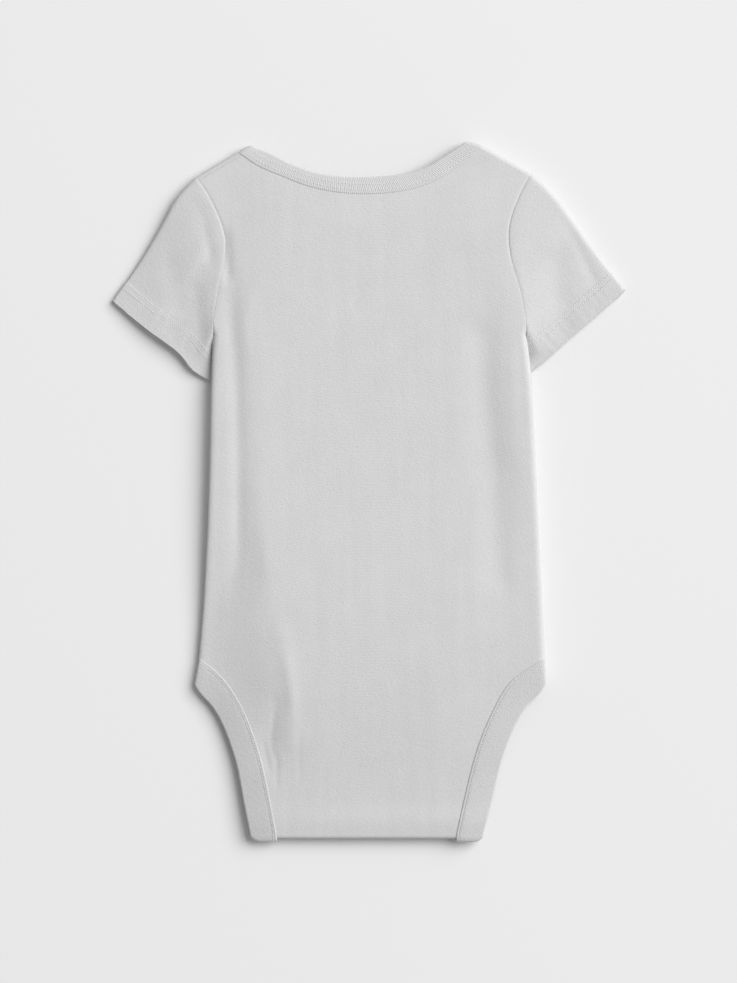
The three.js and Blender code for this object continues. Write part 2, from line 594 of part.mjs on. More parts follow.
// The part of the back neck band that turns over one shoulder and binds the lap, from the shoulder down.
function lapBandRows(side, top) {
  const turned = TURN_ANGLES.map((angle) => {
    const seam = shoulderTurn(side, angle, 1, top);
    const inset = turnInset(angle, SHOULDER_RADIUS);
    const edge = NECK_PEAK[side].clone().addScaledVector(shoulderWay(side, angle), inset);
    seam.x += seam.across.x * SEAM;
    seam.y += seam.across.y * SEAM;
    seam.z = turnHeight(angle, top, FLAT_BAND);
    return { seam, edge: lifted(edge, turnHeight(angle, top - BAND_DROOP, FLAT_BAND)) };
  });
  const flat = ARMHOLE_SHARES.slice(0, LAP_ROWS).map((share) => {
    const { seam, edge, across } = lapEdge(side, share);
    return {
      seam: lifted(onSeam(seam.addScaledVector(across, SEAM), across), FLAT_BAND),
      edge: lifted(edge, FLAT_BAND),
    };
  });
  return [...turned, ...flat];
}

function backNeckBand() {
  const panelRow = backBody[0].slice(SHOULDER_COLUMNS, SHOULDER_COLUMNS + neckSegments + 1);
  const neckRows = neckPoints(curves.backNeck, SEAM).map((point, i) => ({
    seam: lifted(point, panelRow[i].z),
    edge: lifted(curves.backNeck.edge.getPointAt(i / neckSegments), panelRow[i].z - BAND_DROOP),
  }));
  const leftLap = lapBandRows('left', panelRow[0].z).reverse();
  const rightLap = lapBandRows('right', panelRow[neckSegments].z);
  return bandWall('back_neck_band', [...leftLap, ...neckRows, ...rightLap]);
}

function frontNeckBand() {
  const rows = neckPoints(curves.frontNeck, SEAM).map((seam, i) => {
    const edge = curves.frontNeck.edge.getPointAt(i / neckSegments);
    return {
      seam: lifted(seam, FLAT_BAND + frontLift(seam)),
      edge: lifted(edge, FLAT_BAND + frontLift(edge)),
    };
  });
  return bandWall('front_neck_band', rows);
}

// One row of a leg band on the back or the front. The band turns over the side fold at the hip.
function legBandRow(side, layer, share) {
  const { point, inset } = legPoint(side, layer, share, -SEAM / 2, FLAT_BAND);
  const edge = curveOf(LEG[layer], `${side}Edge`).getPoint(share);
  const edgeInset = SIGNS[side] * (LEG[layer][0][`${side}Edge`][0] - edge.x);
  edge.x -= SIGNS[side] * Math.max(0, FLAT_BAND - edgeInset);
  const height = (place, depth) => {
    const level = layer === 'back' ? heightsAt(place.y).roll : FLAT_BAND + frontLift(place);
    return mix(SIDE_FOLD, level, foldShape(depth, SIDE_RADIUS));
  };
  const droop = layer === 'back' ? BAND_DROOP * foldShape(edgeInset, SIDE_RADIUS) : 0;
  return {
    seam: lifted(point, height(point, inset)),
    edge: lifted(edge, height(edge, edgeInset) - droop),
  };
}

// A leg band in one piece: up the front leg, round the hip fold, down the back leg and under the crotch.
function legBand(side) {
  const front = [...LEG_SHARES].reverse().map((share) => legBandRow(side, 'front', share));
  const back = [0, ...LEG_SHARES].map((share) => legBandRow(side, 'back', share));
  const grid = [...front, ...back].map(({ seam, edge }) => BAND_COLUMNS.map((share) => {
    const point = seam.clone().lerp(edge, share);
    return share === 0 ? onSeam(point, seam.across) : point;
  }));
  const reaches = BAND_COLUMNS.map((share) => mix(CROTCH_BAND_REACH, 0.9, ease((share - 0.5) / 0.5)));
  return bandFromGrid(`leg_band_${side}`, [...grid, ...tabRows(grid[grid.length - 1], reaches)]);
}

// A turned piece of a snap from its profile of radius and height, closed on itself.
function snapPiece(name, x, profile) {
  const closed = [...profile, profile[0]].map(vector2);
  const mesh = new THREE.Mesh(new THREE.LatheGeometry(closed, 16), snapMetal());
  mesh.name = name;
  mesh.geometry.rotateX(Math.PI / 2);
  mesh.position.set(x, SNAP_LINE, 0);
  return mesh;
}

// Three fastened snaps: a ring under the front flap, a stud and socket between the flap and the tab,
// and a ring on top of the tab.
function snaps() {
  const flapTop = FLAP_LIFT + LAYER;
  const tabBottom = TAB_HEIGHT - LAYER / 2;
  const tabTop = TAB_HEIGHT + LAYER / 2;
  const ringHole = SNAP_RADIUS * 0.5;
  const round = 0.4;
  const ring = (low, high) => [
    [ringHole, low],
    [SNAP_RADIUS - round, low],
    [SNAP_RADIUS, low + round],
    [SNAP_RADIUS, high - round],
    [SNAP_RADIUS - round, high],
    [ringHole, high],
  ];
  const stud = [
    [0, flapTop + SEAM],
    [SNAP_RADIUS - round, flapTop + SEAM],
    [SNAP_RADIUS, flapTop + SEAM + round],
    [SNAP_RADIUS * 0.8, tabBottom - SEAM],
    [0, tabBottom - SEAM],
  ];
  return [-1, 0, 1].flatMap((place) => {
    const x = place * SNAP_SPACING - 1;
    const number = place + 2;
    return [
      snapPiece(`snap_ring_front_${number}`, x, ring(0, FLAP_LIFT - SEAM)),
      snapPiece(`snap_stud_${number}`, x, stud),
      snapPiece(`snap_ring_back_${number}`, x, ring(tabTop + SEAM, tabTop + SEAM + 0.9)),
    ];
  });
}

const bodysuit = new THREE.Group();
bodysuit.name = 'bodysuit';
bodysuit.add(
  backPanel(),
  frontPanel(),
  sleeve('left'),
  sleeve('right'),
  backNeckBand(),
  frontNeckBand(),
  legBand('left'),
  legBand('right'),
  ...snaps(),
);

export default bodysuit;
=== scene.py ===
# %% [markdown]
# A baby's bodysuit, laid on its front, as a lesson in flat cloth
# The garment is plain grey cotton jersey. It lies with its back up, so the camera looks straight down on
# the back panel, two short sleeves, the bound neckline and the bound leg openings.
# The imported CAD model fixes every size. This script makes a finer skin for each of its pieces: more
# points, softer folds, real edges, ribs and stitches, and knitted materials.
# All tables are in millimetres, seen from above: x to the wearer's right, y to the neck, z up.

# %% Load the frame
import math

import bpy
import numpy as np
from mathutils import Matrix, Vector
from mathutils.bvhtree import BVHTree


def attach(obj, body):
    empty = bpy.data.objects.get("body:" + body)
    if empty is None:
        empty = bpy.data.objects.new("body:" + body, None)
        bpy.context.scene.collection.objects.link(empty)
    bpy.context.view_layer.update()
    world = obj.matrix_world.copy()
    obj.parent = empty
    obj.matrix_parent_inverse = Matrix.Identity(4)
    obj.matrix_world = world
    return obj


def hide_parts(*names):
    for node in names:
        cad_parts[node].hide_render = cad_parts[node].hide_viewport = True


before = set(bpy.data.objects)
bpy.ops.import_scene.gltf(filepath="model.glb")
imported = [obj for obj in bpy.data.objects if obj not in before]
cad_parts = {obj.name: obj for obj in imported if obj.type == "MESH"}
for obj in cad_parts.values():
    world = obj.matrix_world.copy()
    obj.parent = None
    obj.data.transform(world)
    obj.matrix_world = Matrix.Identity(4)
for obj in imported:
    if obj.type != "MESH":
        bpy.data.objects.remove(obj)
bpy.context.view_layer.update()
print("nodes in the frame:", len(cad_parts))

MM = 0.001
JERSEY = 1.0  # one layer of cloth
BAND = 2.0  # a band folded round a raw edge
HEM = 1.7  # a sleeve where its hem is turned up
FLAT = 0.6  # the middle of a layer on the table
FLAT_BAND = 1.25  # the middle of a band on the table, with its stitches under it
FLAT_HEM = 1.1  # the middle of a hem on the table

# %% [markdown]
# A pattern cutter draws a garment as curves through a few measured points. The same is done here:
# each outline is a short table, and a smooth curve goes through its points. Walking along a curve by its
# length, and not by its points, keeps the rows of cloth even.

# %% Curves through a table's points


def mix(a, b, share):
    return a + (b - a) * share


def ease(share):
    share = np.clip(share, 0, 1)
    return share * share * (3 - 2 * share)


class Curve:
    """A smooth curve through points, seen from above."""

    def __init__(self, points):
        points = np.array(points, float)
        last = len(points) - 1
        place = np.linspace(0, last, 1201)
        start = np.minimum(place.astype(int), last - 1)
        t = (place - start)[:, None]
        p0, p1, p2, p3 = (points[np.clip(start + i, 0, last)] for i in (-1, 0, 1, 2))
        v1, v2 = (p2 - p0) / 2, (p3 - p1) / 2
        self.points = (
            (2 * p1 - 2 * p2 + v1 + v2) * t**3 + (3 * p2 - 3 * p1 - 2 * v1 - v2) * t**2 + v1 * t + p1
        )
        steps = np.linalg.norm(np.diff(self.points, axis=0), axis=1)
        self.along = np.concatenate([[0], np.cumsum(steps)])
        self.length = self.along[-1]

    def at(self, share):
        where = np.asarray(share, float) * self.length
        return np.stack([np.interp(where, self.along, self.points[:, i]) for i in (0, 1)], -1)

    def tangent(self, share):
        share = np.asarray(share, float)
        step = self.at(np.minimum(share + 0.004, 1)) - self.at(np.maximum(share - 0.004, 0))
        return step / np.linalg.norm(step, axis=-1, keepdims=True)

    def inward(self, share, side):
        """The direction towards the garment's middle, from a curve that runs down it."""
        tangent = self.tangent(share)
        return -SIGN[side] * np.stack([-tangent[..., 1], tangent[..., 0]], -1)

    def distance(self, x, y):
        """How far points lie from the curve, and the share of its length that they are level with."""
        flat = np.stack([np.ravel(x), np.ravel(y)], -1)
        line = self.points[::6]
        gaps = np.linalg.norm(flat[:, None] - line[None], axis=-1)
        nearest = gaps.argmin(1)
        share = self.along[::6][nearest] / self.length
        return gaps.min(1).reshape(np.shape(x)), share.reshape(np.shape(x))


SIGN = {"left": -1, "right": 1}
SIDES = ("left", "right")

# %% The garment's outlines
ARMHOLE = {
    "left": Curve([(-104, 188.5), (-95.5, 175.5), (-87.6, 157), (-86.4, 143), (-89.6, 122), (-93, 101), (-93.6, 93.5)]),
    "right": Curve([(98, 190.5), (90.2, 175.5), (84.8, 159), (85.2, 142), (90, 122), (94, 101), (95, 93.5)]),
}
SIDE = {
    "left": Curve([(-93.6, 93.5), (-94.5, 60), (-96, -5), (-99, -65), (-102.2, -101.5)]),
    "right": Curve([(95, 93.5), (98.3, 60), (101.3, -5), (104.3, -65), (106, -101.5)]),
}
BACK_LEG = {
    "left": Curve([(-102.2, -101.5), (-91.3, -110), (-82, -121.5), (-73.6, -137.5), (-66, -160), (-60.5, -184.5), (-56.5, -206)]),
    "right": Curve([(106, -101.5), (94.5, -108.5), (84, -117.5), (74, -135.5), (65.6, -157.5), (59, -183.5), (54, -206)]),
}
BACK_LEG_EDGE = {
    "left": Curve([(-104.8, -114.5), (-100.7, -120.8), (-92.6, -130), (-85.8, -142.6), (-78.6, -163.6), (-74, -187.2), (-70.2, -206)]),
    "right": Curve([(106.8, -113), (102.7, -119.8), (95, -127), (86.7, -141.4), (79.1, -161.7), (73.2, -186.3), (67.9, -206)]),
}
FLAP_END = -203.5
FRONT_LEG = {
    "left": Curve([(-102.2, -101.5), (-89, -108.5), (-77.5, -119), (-68.5, -133.5), (-61.5, -154), (-57, -178), (-54.5, FLAP_END)]),
    "right": Curve([(106, -101.5), (91.5, -108), (79.5, -118), (69.5, -132.5), (61.5, -153), (56, -178), (52.5, FLAP_END)]),
}
FRONT_LEG_EDGE = {
    "left": Curve([(-104.8, -114.5), (-96.5, -119.1), (-87.5, -127.2), (-80.3, -138.9), (-74.1, -157.3), (-69.9, -179.8), (-67.4, FLAP_END)]),
    "right": Curve([(106.8, -113), (99.5, -118.5), (89.8, -126.2), (81.6, -137.7), (74.4, -156.2), (69, -179.8), (65.5, FLAP_END)]),
}
SLEEVE_FOLD = {
    "left": Curve([(-104, 188.5), (-115.4, 176), (-125.9, 156.7), (-139.1, 134.6), (-153.7, 114)]),
    "right": Curve([(98, 190.5), (109.2, 180), (120.3, 165.8), (136, 143.4), (153.7, 120.4)]),
}
SLEEVE_HEM = {
    "left": Curve([(-153.7, 114), (-133, 97.2), (-114.5, 83.6), (-105, 72.4), (-95.3, 65.4)]),
    "right": Curve([(153.7, 120.4), (138, 106.7), (122.5, 93.5), (110, 82.4), (98.7, 71.7)]),
}
BACK_NECK = Curve(
    [(-74.2, 201.9), (-64.6, 195.6), (-50.5, 189.6), (-34, 183.5), (-14, 179.9), (8, 179.7), (27, 182.6), (41, 188), (53.5, 195.5), (64.5, 205.3)]
)
BACK_NECK_EDGE = Curve(
    [(-68.7, 205.7), (-60, 202.3), (-47.6, 196), (-32, 190.2), (-12.8, 187.5), (7, 187.9), (23.7, 189.8), (36.6, 194.6), (47.5, 201.4), (56.7, 207.7)]
)
FRONT_NECK = Curve([(-75, 198.3), (-66, 184), (-50, 168), (-29, 158), (-3, 154.5), (22, 158), (42, 168), (57, 185), (64.5, 201.3)])
FRONT_NECK_EDGE = Curve(
    [(-68.4, 201.7), (-59.3, 188.5), (-45.5, 174.8), (-27, 165.8), (-3, 162.5), (20, 165.8), (37.5, 174.8), (50.3, 189.5), (56.8, 203.8)]
)
LAP_EDGE = {
    "left": Curve([(-76.7, 200.4), (-74.2, 193), (-73.8, 182), (-75.2, 170), (-78.2, 159), (-81.9, 150)]),
    "right": Curve([(67.3, 203.8), (64.8, 195), (64.2, 183), (65.8, 171), (69, 160), (78.8, 150)]),
}
LAP_BAND_EDGE = {
    "left": Curve([(-71.2, 204.2), (-66.6, 195.4), (-65.8, 182), (-67.3, 168), (-71.2, 154.4), (-79.6, 140)]),
    "right": Curve([(59.5, 206.2), (57, 197.2), (56.2, 183), (58, 169), (62.2, 155.4), (78, 139.6)]),
}
NECK_POINT = {"left": np.array([-77.3, 204.4]), "right": np.array([67.4, 208])}
NECK_PEAK = {"left": np.array([-71.8, 208.2]), "right": np.array([59.5, 210.4])}
NECK_WAY = {"left": np.array([0.83, -0.66]), "right": np.array([-0.773, -0.709])}
LAP_WAY = {"left": np.array([0.16, -1.08]), "right": np.array([-0.03, -1.13])}
print("armhole seams:", [round(ARMHOLE[side].length) for side in SIDES], "mm")

# %% [markdown]
# Cloth on a table is almost flat, so its shape is a height above each point of its outline.
# The large heights are those of the CAD: rolls where the side folds turn over, shallow troughs inside
# them, and a low crown in the middle. The small ones are the marks of use, such as the soft ripples that
# run down the back, the crease into the left leg, and a pull beside each seam. A table of lines, each with
# a width and a height, places the creases where they lie on the real garment.

# %% Heights of the back
SIDE_FOLD = 4.6
SIDE_RADIUS = 4.0
UNDER_RADIUS = 7.0  # the lower layer runs in under the fold, so the table beside it is left in soft light
UNDER_POWER = 1.2
# y, then how high the side fold lies there on its outermost line
FOLD_LINES = {
    "left": [(-102, 3.8), (-75, 5.0), (-40, 7.0), (0, 8.2), (60, 8.2), (82, 6.6), (94, 4.6)],
    "right": [(-102, 6.4), (-75, 7.4), (-40, 8.4), (0, 9.4), (60, 9.2), (82, 7.0), (94, 4.6)],
}
SIDE_GAP = 0.2
SHOULDER_RADIUS = 3.15
FRONT_SCOOP = 3
UNDERARM_REACH = 11
CROTCH_LINE = -206
CROTCH_RADIUS = 1.8
CROTCH_BAND_REACH = 3.5
TAB_HEIGHT = 5.5
TAB_END = -180
TAB_NARROWING = 0.05
BAND_DROOP = 0.3
BAND_PROUD = {"left": 0.05, "right": 0.3}
# y, then the height at the left edge, in the middle and at the right edge, then where the cloth starts and
# stops rising from the left, and where it starts and stops changing towards the right
BACK_HEIGHTS = [
    (-206, 7.8, 8.4, 8.6, -62, -20, 20, 60),
    (-199, 8.0, 8.8, 9.0, -62, -20, 20, 62),
    (-187, 7.5, 7.9, 7.6, -66, -20, 25, 62),
    (-175, 7.3, 8.0, 7.3, -70, -25, 28, 68),
    (-155, 6.6, 8.9, 7.8, -76, -32, 35, 70),
    (-137, 5.9, 9.7, 8.1, -84, -42, 40, 80),
    (-119, 5.5, 10.4, 8.5, -92, -46, 38, 84),
    (-101, 5.5, 10.8, 9.3, -98, -50, 42, 95),
    (-77, 6.2, 11.0, 9.9, -98, -54, 45, 88),
    (-41, 8.4, 10.9, 10.4, -80, -60, 50, 85),
    (-5, 9.7, 10.7, 11.3, -80, -64, 76, 96),
    (31, 10.1, 10.6, 11.9, -80, -65, 70, 92),
    (67, 9.9, 10.6, 11.8, -82, -67, 66, 88),
    (103, 9.1, 10.4, 11.0, -86, -72, 64, 88),
    (139, 8.6, 10.0, 10.2, -87, -58, 60, 84),
    (166, 8.1, 9.5, 9.2, -90, -46, 55, 85),
    (196, 7.0, 7.9, 7.6, -90, -50, 50, 85),
]
# points on the crease, how wide it is and how high (a trough is below zero)
BACK_CREASES = [
    ([(67, 92), (72, 30), (78, -50)], 9, -1.0),
    ([(-83, 142), (-79, 60), (-78, 0), (-80, -66)], 4.5, -0.7),
    ([(-62, 85), (-62, 0), (-58, -45)], 8, 0.25),
    ([(-52, -85), (-46, -120), (-47, -150)], 6, 0.5),
    ([(-56, -128), (-62, -160)], 6, -0.5),
    ([(-86, 160), (-84, 122)], 3.5, -0.9),
    ([(-51, -92), (-46.5, -119), (-45.5, -136)], 3.1, 0.3),
    ([(-55, -125), (-58, -149), (-57, -156), (-55.6, -164), (-59.2, -178)], 2.1, -0.24),
    ([(-63.5, -148), (-58.6, -172)], 1.7, -0.2),
    ([(-54.4, -156), (-55, -182)], 1.5, -0.17),
    ([(-41.8, -140), (-41.2, -180)], 1.3, -0.12),
]
NARROW = 4.6
LEFT_SLEEVE_CREASES = [
    ([(-108, 184), (-98, 162), (-93, 132)], 4, -1.05),
    ([(-122, 150), (-113, 112)], 7, -0.8),
    ([(-104, 120), (-101, 96)], 5, -0.6),
]
RIGHT_SLEEVE_CREASES = [
    ([(114, 170), (124, 151), (139, 120)], 3.2, -1.15),
    ([(112, 136), (116, 98)], 8, -0.9),
    ([(122, 164), (146, 122)], 4, 0.75),
]


FOLD_POWER = 3  # 2 makes a fold round, more makes it crisper
SIDE_SHAPE = {"back": (SIDE_RADIUS, 2.6), "front": (UNDER_RADIUS, UNDER_POWER)}


def fold_shape(inset, radius, power=FOLD_POWER):
    """How high a fold stands, from 0 on its outermost line to 1 where it is level."""
    return (1 - (1 - np.clip(inset / radius, 0, 1)) ** power) ** (1 / power)


def creases(x, y, table):
    """The height of a table of lines. A wide one fades past its ends, a narrow one runs out in points."""
    height = np.zeros(np.shape(x))
    for points, width, rise in table:
        gap, share = Curve(points).distance(x, y)
        taper = ease(np.minimum(share, 1 - share) * 4) if width < NARROW else 1
        height = height + taper * rise * np.exp(-((gap / width) ** 2))
    return height


def smooth_noise(x, y, size_x, size_y, seed):
    """Soft hills of about the given size, from -1 to 1."""
    numbers = np.random.default_rng(seed).uniform(-1, 1, (64, 64))
    u, v = x / size_x + 32, y / size_y + 32
    i, j = np.floor(u).astype(int), np.floor(v).astype(int)
    s, t = ease(u - i), ease(v - j)
    corner = [numbers[(i + a) % 64, (j + b) % 64] for a in (0, 1) for b in (0, 1)]
    return mix(mix(corner[0], corner[1], t), mix(corner[2], corner[3], t), s)


def fold_line(x, y):
    left, right = (np.interp(y, *zip(*FOLD_LINES[side])) for side in SIDES)
    return np.where(x < 0, left, right)


def heights_at(y):
    """Each column of the table at y, smooth between its rows."""
    table = np.array(BACK_HEIGHTS, float)
    rows, values = table[:, 0], table[:, 1:]
    slopes = np.gradient(values, rows, axis=0)
    after = np.clip(np.searchsorted(rows, y), 1, len(rows) - 1)
    gap = rows[after] - rows[after - 1]
    t = np.clip((y - rows[after - 1]) / gap, 0, 1)[..., None]
    start_slope, end_slope = slopes[after - 1] * gap[..., None], slopes[after] * gap[..., None]
    low, high = values[after - 1], values[after]
    result = (2 * t**3 - 3 * t**2 + 1) * low + (t**3 - 2 * t**2 + t) * start_slope
    result = result + (3 * t**2 - 2 * t**3) * high + (t**3 - t**2) * end_slope
    return np.moveaxis(result, -1, 0)


def ripples(x, y):
    """The soft marks that run down worn jersey, and a little unevenness everywhere."""
    lines = smooth_noise(x + 0.06 * y, y, 6, 70, 1) + 0.6 * smooth_noise(x - 0.04 * y, y, 4, 45, 2)
    dimples = smooth_noise(x, y, 16, 20, 3)
    return 0.05 * lines + 0.04 * dimples


def back_level(x, y):
    left, middle, right, left_low, left_high, right_high, right_low = heights_at(y)
    from_left = 1 - ease((x - left_low) / (left_high - left_low))
    to_right = ease((x - right_high) / (right_low - right_high))
    level = middle + (left - middle) * from_left + (right - middle) * to_right
    return level + creases(x, y, BACK_CREASES)


def back_height(x, y, shape, left_way, right_way):
    level = back_level(x, y) + ripples(x, y) * ease(np.minimum(left_way, right_way) / 8)
    return mix(fold_line(x, y) + SIDE_GAP / 2, level, shape)


LAP_LIFT = 2.4
LAP_RADIUS = 22
LAP_RAMP = 10
FLAP_LIFT = 1.3
LAP_LINES = [(-83, 201, -78, 160), (76, 203, 74, 156)]


def front_lift(x, y):
    """How much the front is lifted where it passes over the shoulder laps and the snaps."""
    gaps = []
    for x0, y0, x1, y1 in LAP_LINES:
        along = np.array([x1 - x0, y1 - y0], float)
        share = np.clip(((x - x0) * along[0] + (y - y0) * along[1]) / (along @ along), 0, 1)
        gaps.append(np.hypot(x - x0 - share * along[0], y - y0 - share * along[1]))
    over_lap = 1 - ease((np.minimum(*gaps) - LAP_RADIUS) / LAP_RAMP)
    return LAP_LIFT * over_lap + FLAP_LIFT * ease((-158 - y) / 20)


def front_height(x, y, shape, left_way, right_way):
    level = FLAT + front_lift(x, y)
    return mix(fold_line(x, y) - SIDE_GAP / 2, level, shape)


# %% [markdown]
# Every piece is a grid of points on the middle of the cloth. From the grid, one function makes a closed
# wall: it pushes the points out to both faces and rounds the rim, so that a cut or folded edge catches
# the light as real cloth does. A Solidify modifier could do this too, but then the edge would be square.

# %% A wall of cloth from a grid
RIM_ANGLES = np.radians([45, 90, 135])


def unit(vectors):
    return vectors / np.maximum(np.linalg.norm(vectors, axis=-1, keepdims=True), 1e-9)


def grid_lengths(grid):
    """UV in metres: how far each point lies from the grid's middle, along its row and its column."""
    filled = np.nan_to_num(grid)
    row, column = grid.shape[0] // 2, grid.shape[1] // 2
    across = np.linalg.norm(np.diff(filled, axis=1, prepend=filled[:, :1]), axis=2).cumsum(1)
    down = np.linalg.norm(np.diff(filled, axis=0, prepend=filled[:1]), axis=2).cumsum(0)
    return np.stack([across - across[:, column : column + 1], down[row] - down], -1) * MM


def cloth_wall(name, grid, thickness, tube=False, uv=None):
    """A closed mesh round a grid of middle points. Cells with no cloth are not a number."""
    rows, columns = grid.shape[:2]
    thickness = np.broadcast_to(thickness, (rows, columns))
    uv = grid_lengths(grid) if uv is None else uv
    index = np.arange(rows * columns).reshape(rows, columns)
    right = np.roll(index, -1, 1) if tube else index[:, 1:]
    left = index if tube else index[:, :-1]
    quads = np.stack([left[:-1], right[:-1], right[1:], left[1:]], -1).reshape(-1, 4)
    points = grid.reshape(-1, 3)
    quads = quads[np.isfinite(points[quads]).all((1, 2))]

    a, b, c, d = (points[quads[:, i]] for i in range(4))
    quad_normal = np.cross(c - a, d - b)
    centre = (a + b + c + d) / 4
    normal, outward = np.zeros_like(points), np.zeros_like(points)
    for i in range(4):
        np.add.at(normal, quads[:, i], quad_normal)
        np.add.at(outward, quads[:, i], points[quads[:, i]] - centre)
    normal = unit(normal)
    outward = unit(outward - (outward * normal).sum(1, keepdims=True) * normal)
    half = thickness.reshape(-1, 1) / 2

    count = len(points)
    layers = [points + half * normal, points - half * normal]
    layers += [points + half * (math.cos(angle) * normal + math.sin(angle) * outward) for angle in RIM_ANGLES]
    faces = [quads, quads[:, ::-1] + count]
    edges = np.concatenate([quads[:, [i, (i + 1) % 4]] for i in range(4)])
    codes = edges[:, 0] * count + edges[:, 1]
    free = edges[~np.isin(codes, edges[:, 1] * count + edges[:, 0])]
    ring = [0, 2, 3, 4, 1]
    for near, far in zip(ring[:-1], ring[1:]):
        start, end = free[:, 0], free[:, 1]
        faces.append(np.stack([end + near * count, start + near * count, start + far * count, end + far * count], -1))
    vertices, faces = np.concatenate(layers), np.concatenate(faces)
    used, faces = np.unique(faces, return_inverse=True)
    faces = faces.reshape(-1, 4)
    vertices = vertices[used]
    a, b, c, d = (vertices[faces[:, i]] for i in range(4))
    volume = (a * np.cross(b, c)).sum() + (a * np.cross(c, d)).sum()
    if volume < 0:
        faces = faces[:, ::-1]
    vertex_uv = np.tile(uv.reshape(-1, 2), (5, 1))[used]
    return mesh_object(name, vertices, faces, vertex_uv)


def mesh_object(name, vertices_mm, faces, vertex_uv=None):
    mesh = bpy.data.meshes.new(name)
    mesh.from_pydata((np.asarray(vertices_mm) * MM).tolist(), [], np.asarray(faces).tolist())
    mesh.polygons.foreach_set("use_smooth", np.ones(len(mesh.polygons), bool))
    if vertex_uv is not None:
        loops = np.zeros(len(mesh.loops), int)
        mesh.loops.foreach_get("vertex_index", loops)
        layer = mesh.uv_layers.new(name="cloth")
        layer.data.foreach_set("uv", np.nan_to_num(vertex_uv[loops]).astype(np.float32).ravel())
    mesh.update()
    piece = bpy.data.objects.new(name, mesh)
    bpy.context.scene.collection.objects.link(piece)
    return piece


# %% [markdown]
# The back panel is one piece of jersey. Its middle is a grid between the left and right edges. Above, it
# goes on over both shoulders as the laps of the neckline, which lie under the garment. Below, it turns
# under at the crotch and comes up again as the tab that the snaps close.
# At each seam the cloth is pulled down into a narrow groove, because the raw edges are stitched inside.

# %% Columns and edges of the body
SHOULDER_SHARE = 0.157  # of the body's width, the part that ends at a shoulder
fold_columns = np.linspace(0, 1, 11) ** 2 * 0.0203
shoulder_columns = np.linspace(0.0203, SHOULDER_SHARE, 29)[1:]
neck_columns = np.linspace(SHOULDER_SHARE, 0.5, 45)[1:]
half_columns = np.concatenate([fold_columns, shoulder_columns, neck_columns])
COLUMNS = np.concatenate([half_columns, 1 - half_columns[-2::-1]])
SHOULDER = len(fold_columns) + len(shoulder_columns) - 1  # the column where the neckline starts
SHOULDER_SHARES = COLUMNS[: SHOULDER + 1] / SHOULDER_SHARE
LAP_END = 0.49  # how far down the armhole the lap ends
ROWS = {"armhole": 60, "side": 84, "leg": 108, "lap": 30, "turn": 13, "tab": 12}


def turn_power(angle):
    """A shoulder's turn is round above its fold and slants in below it."""
    return np.where(np.asarray(angle) > np.pi / 2 + 0.001, UNDER_POWER, FOLD_POWER)


def turn_inset(angle):
    return SHOULDER_RADIUS * (1 - np.sin(angle) ** (2 / turn_power(angle))) + FLAT


def turn_height(angle, top, low, power=None):
    level = np.cos(angle)
    power = turn_power(angle) if power is None else power
    return mix(top, low, (1 - np.sign(level) * np.abs(level) ** (2 / power)) / 2)


def shoulder_share(side, angle=0.0):
    return turn_inset(angle) / ARMHOLE[side].length


def armhole_inset(share):
    return (1 - share) * ARMHOLE["left"].length * SIDE_RADIUS / UNDERARM_REACH


def armhole_points(side, layer, share, gap):
    share = np.asarray(share, float)
    points = ARMHOLE[side].at(share) + gap * ARMHOLE[side].inward(share, side)
    if layer == "front":
        points[..., 0] -= SIGN[side] * FRONT_SCOOP * np.sin(np.pi * share)
    points[..., 0] -= SIGN[side] * np.sign(gap) * FLAT * np.clip((share - 0.9) / 0.1, 0, 1) ** 3
    return points


SEAM = 0.05  # each piece ends this near the line of its seam


def leg_points(side, layer, share, gap, half):
    curve = (BACK_LEG if layer == "back" else FRONT_LEG)[side]
    points = curve.at(share)
    inset = SIGN[side] * (curve.points[0, 0] - points[:, 0])
    across = curve.inward(share, side)
    across = unit(mix(across, np.array([0.0, 1.0]), (1 - fold_shape(inset, SIDE_RADIUS))[:, None]))
    points = points + gap * across
    points[:, 0] -= SIGN[side] * np.maximum(0, half - inset)
    return points, inset


def panel_edge(side, layer):
    """One edge of the back or front: its points and how far each lies inside the side fold."""
    share = np.linspace(shoulder_share(side), 1, ROWS["armhole"])
    armhole = armhole_points(side, layer, share, SEAM)
    down = np.linspace(0, 1, ROWS["side"])[1:-1]
    sides = SIDE[side].at(down) + FLAT * SIDE[side].inward(down, side)
    leg, leg_inset = leg_points(side, layer, np.linspace(0, 1, ROWS["leg"]) ** 1.2, 0, FLAT)
    insets = np.concatenate([armhole_inset(share), np.zeros(len(down)), leg_inset])
    return np.concatenate([armhole, sides, leg]), insets


def panel_grid(layer, height):
    radius, power = SIDE_SHAPE[layer]
    (left, left_inset), (right, right_inset) = panel_edge("left", layer), panel_edge("right", layer)
    neck = BACK_NECK if layer == "back" else FRONT_NECK
    neck_points = neck.at(np.linspace(0, 1, len(COLUMNS) - 2 * SHOULDER))
    share = SHOULDER_SHARES[:-1, None]
    top = np.concatenate([mix(left[0], neck_points[0], share), neck_points, mix(right[0], neck_points[-1], share)[::-1]])
    across = COLUMNS[:, None]
    shift = top - mix(top[0], top[-1], across)
    down = np.linspace(0, 1, len(left))[:, None, None]
    plan = mix(left[:, None], right[:, None], across[None]) + shift[None] * (1 - down) ** 2
    left_way, right_way = plan[..., 0] - left[:, None, 0], right[:, None, 0] - plan[..., 0]
    shape = fold_shape(left_inset[:, None] + left_way, radius, power)
    shape = shape * fold_shape(right_inset[:, None] + right_way, radius, power)
    z = height(plan[..., 0], plan[..., 1], shape, left_way, right_way)
    return np.concatenate([plan, z[..., None]], -1)


back_body = panel_grid("back", back_height)
print("the back's grid:", back_body.shape[:2], "top at", round(float(back_body[..., 2].max()), 1), "mm")

# %% The grooves at the seams
GROOVE_WIDTH = 1.1
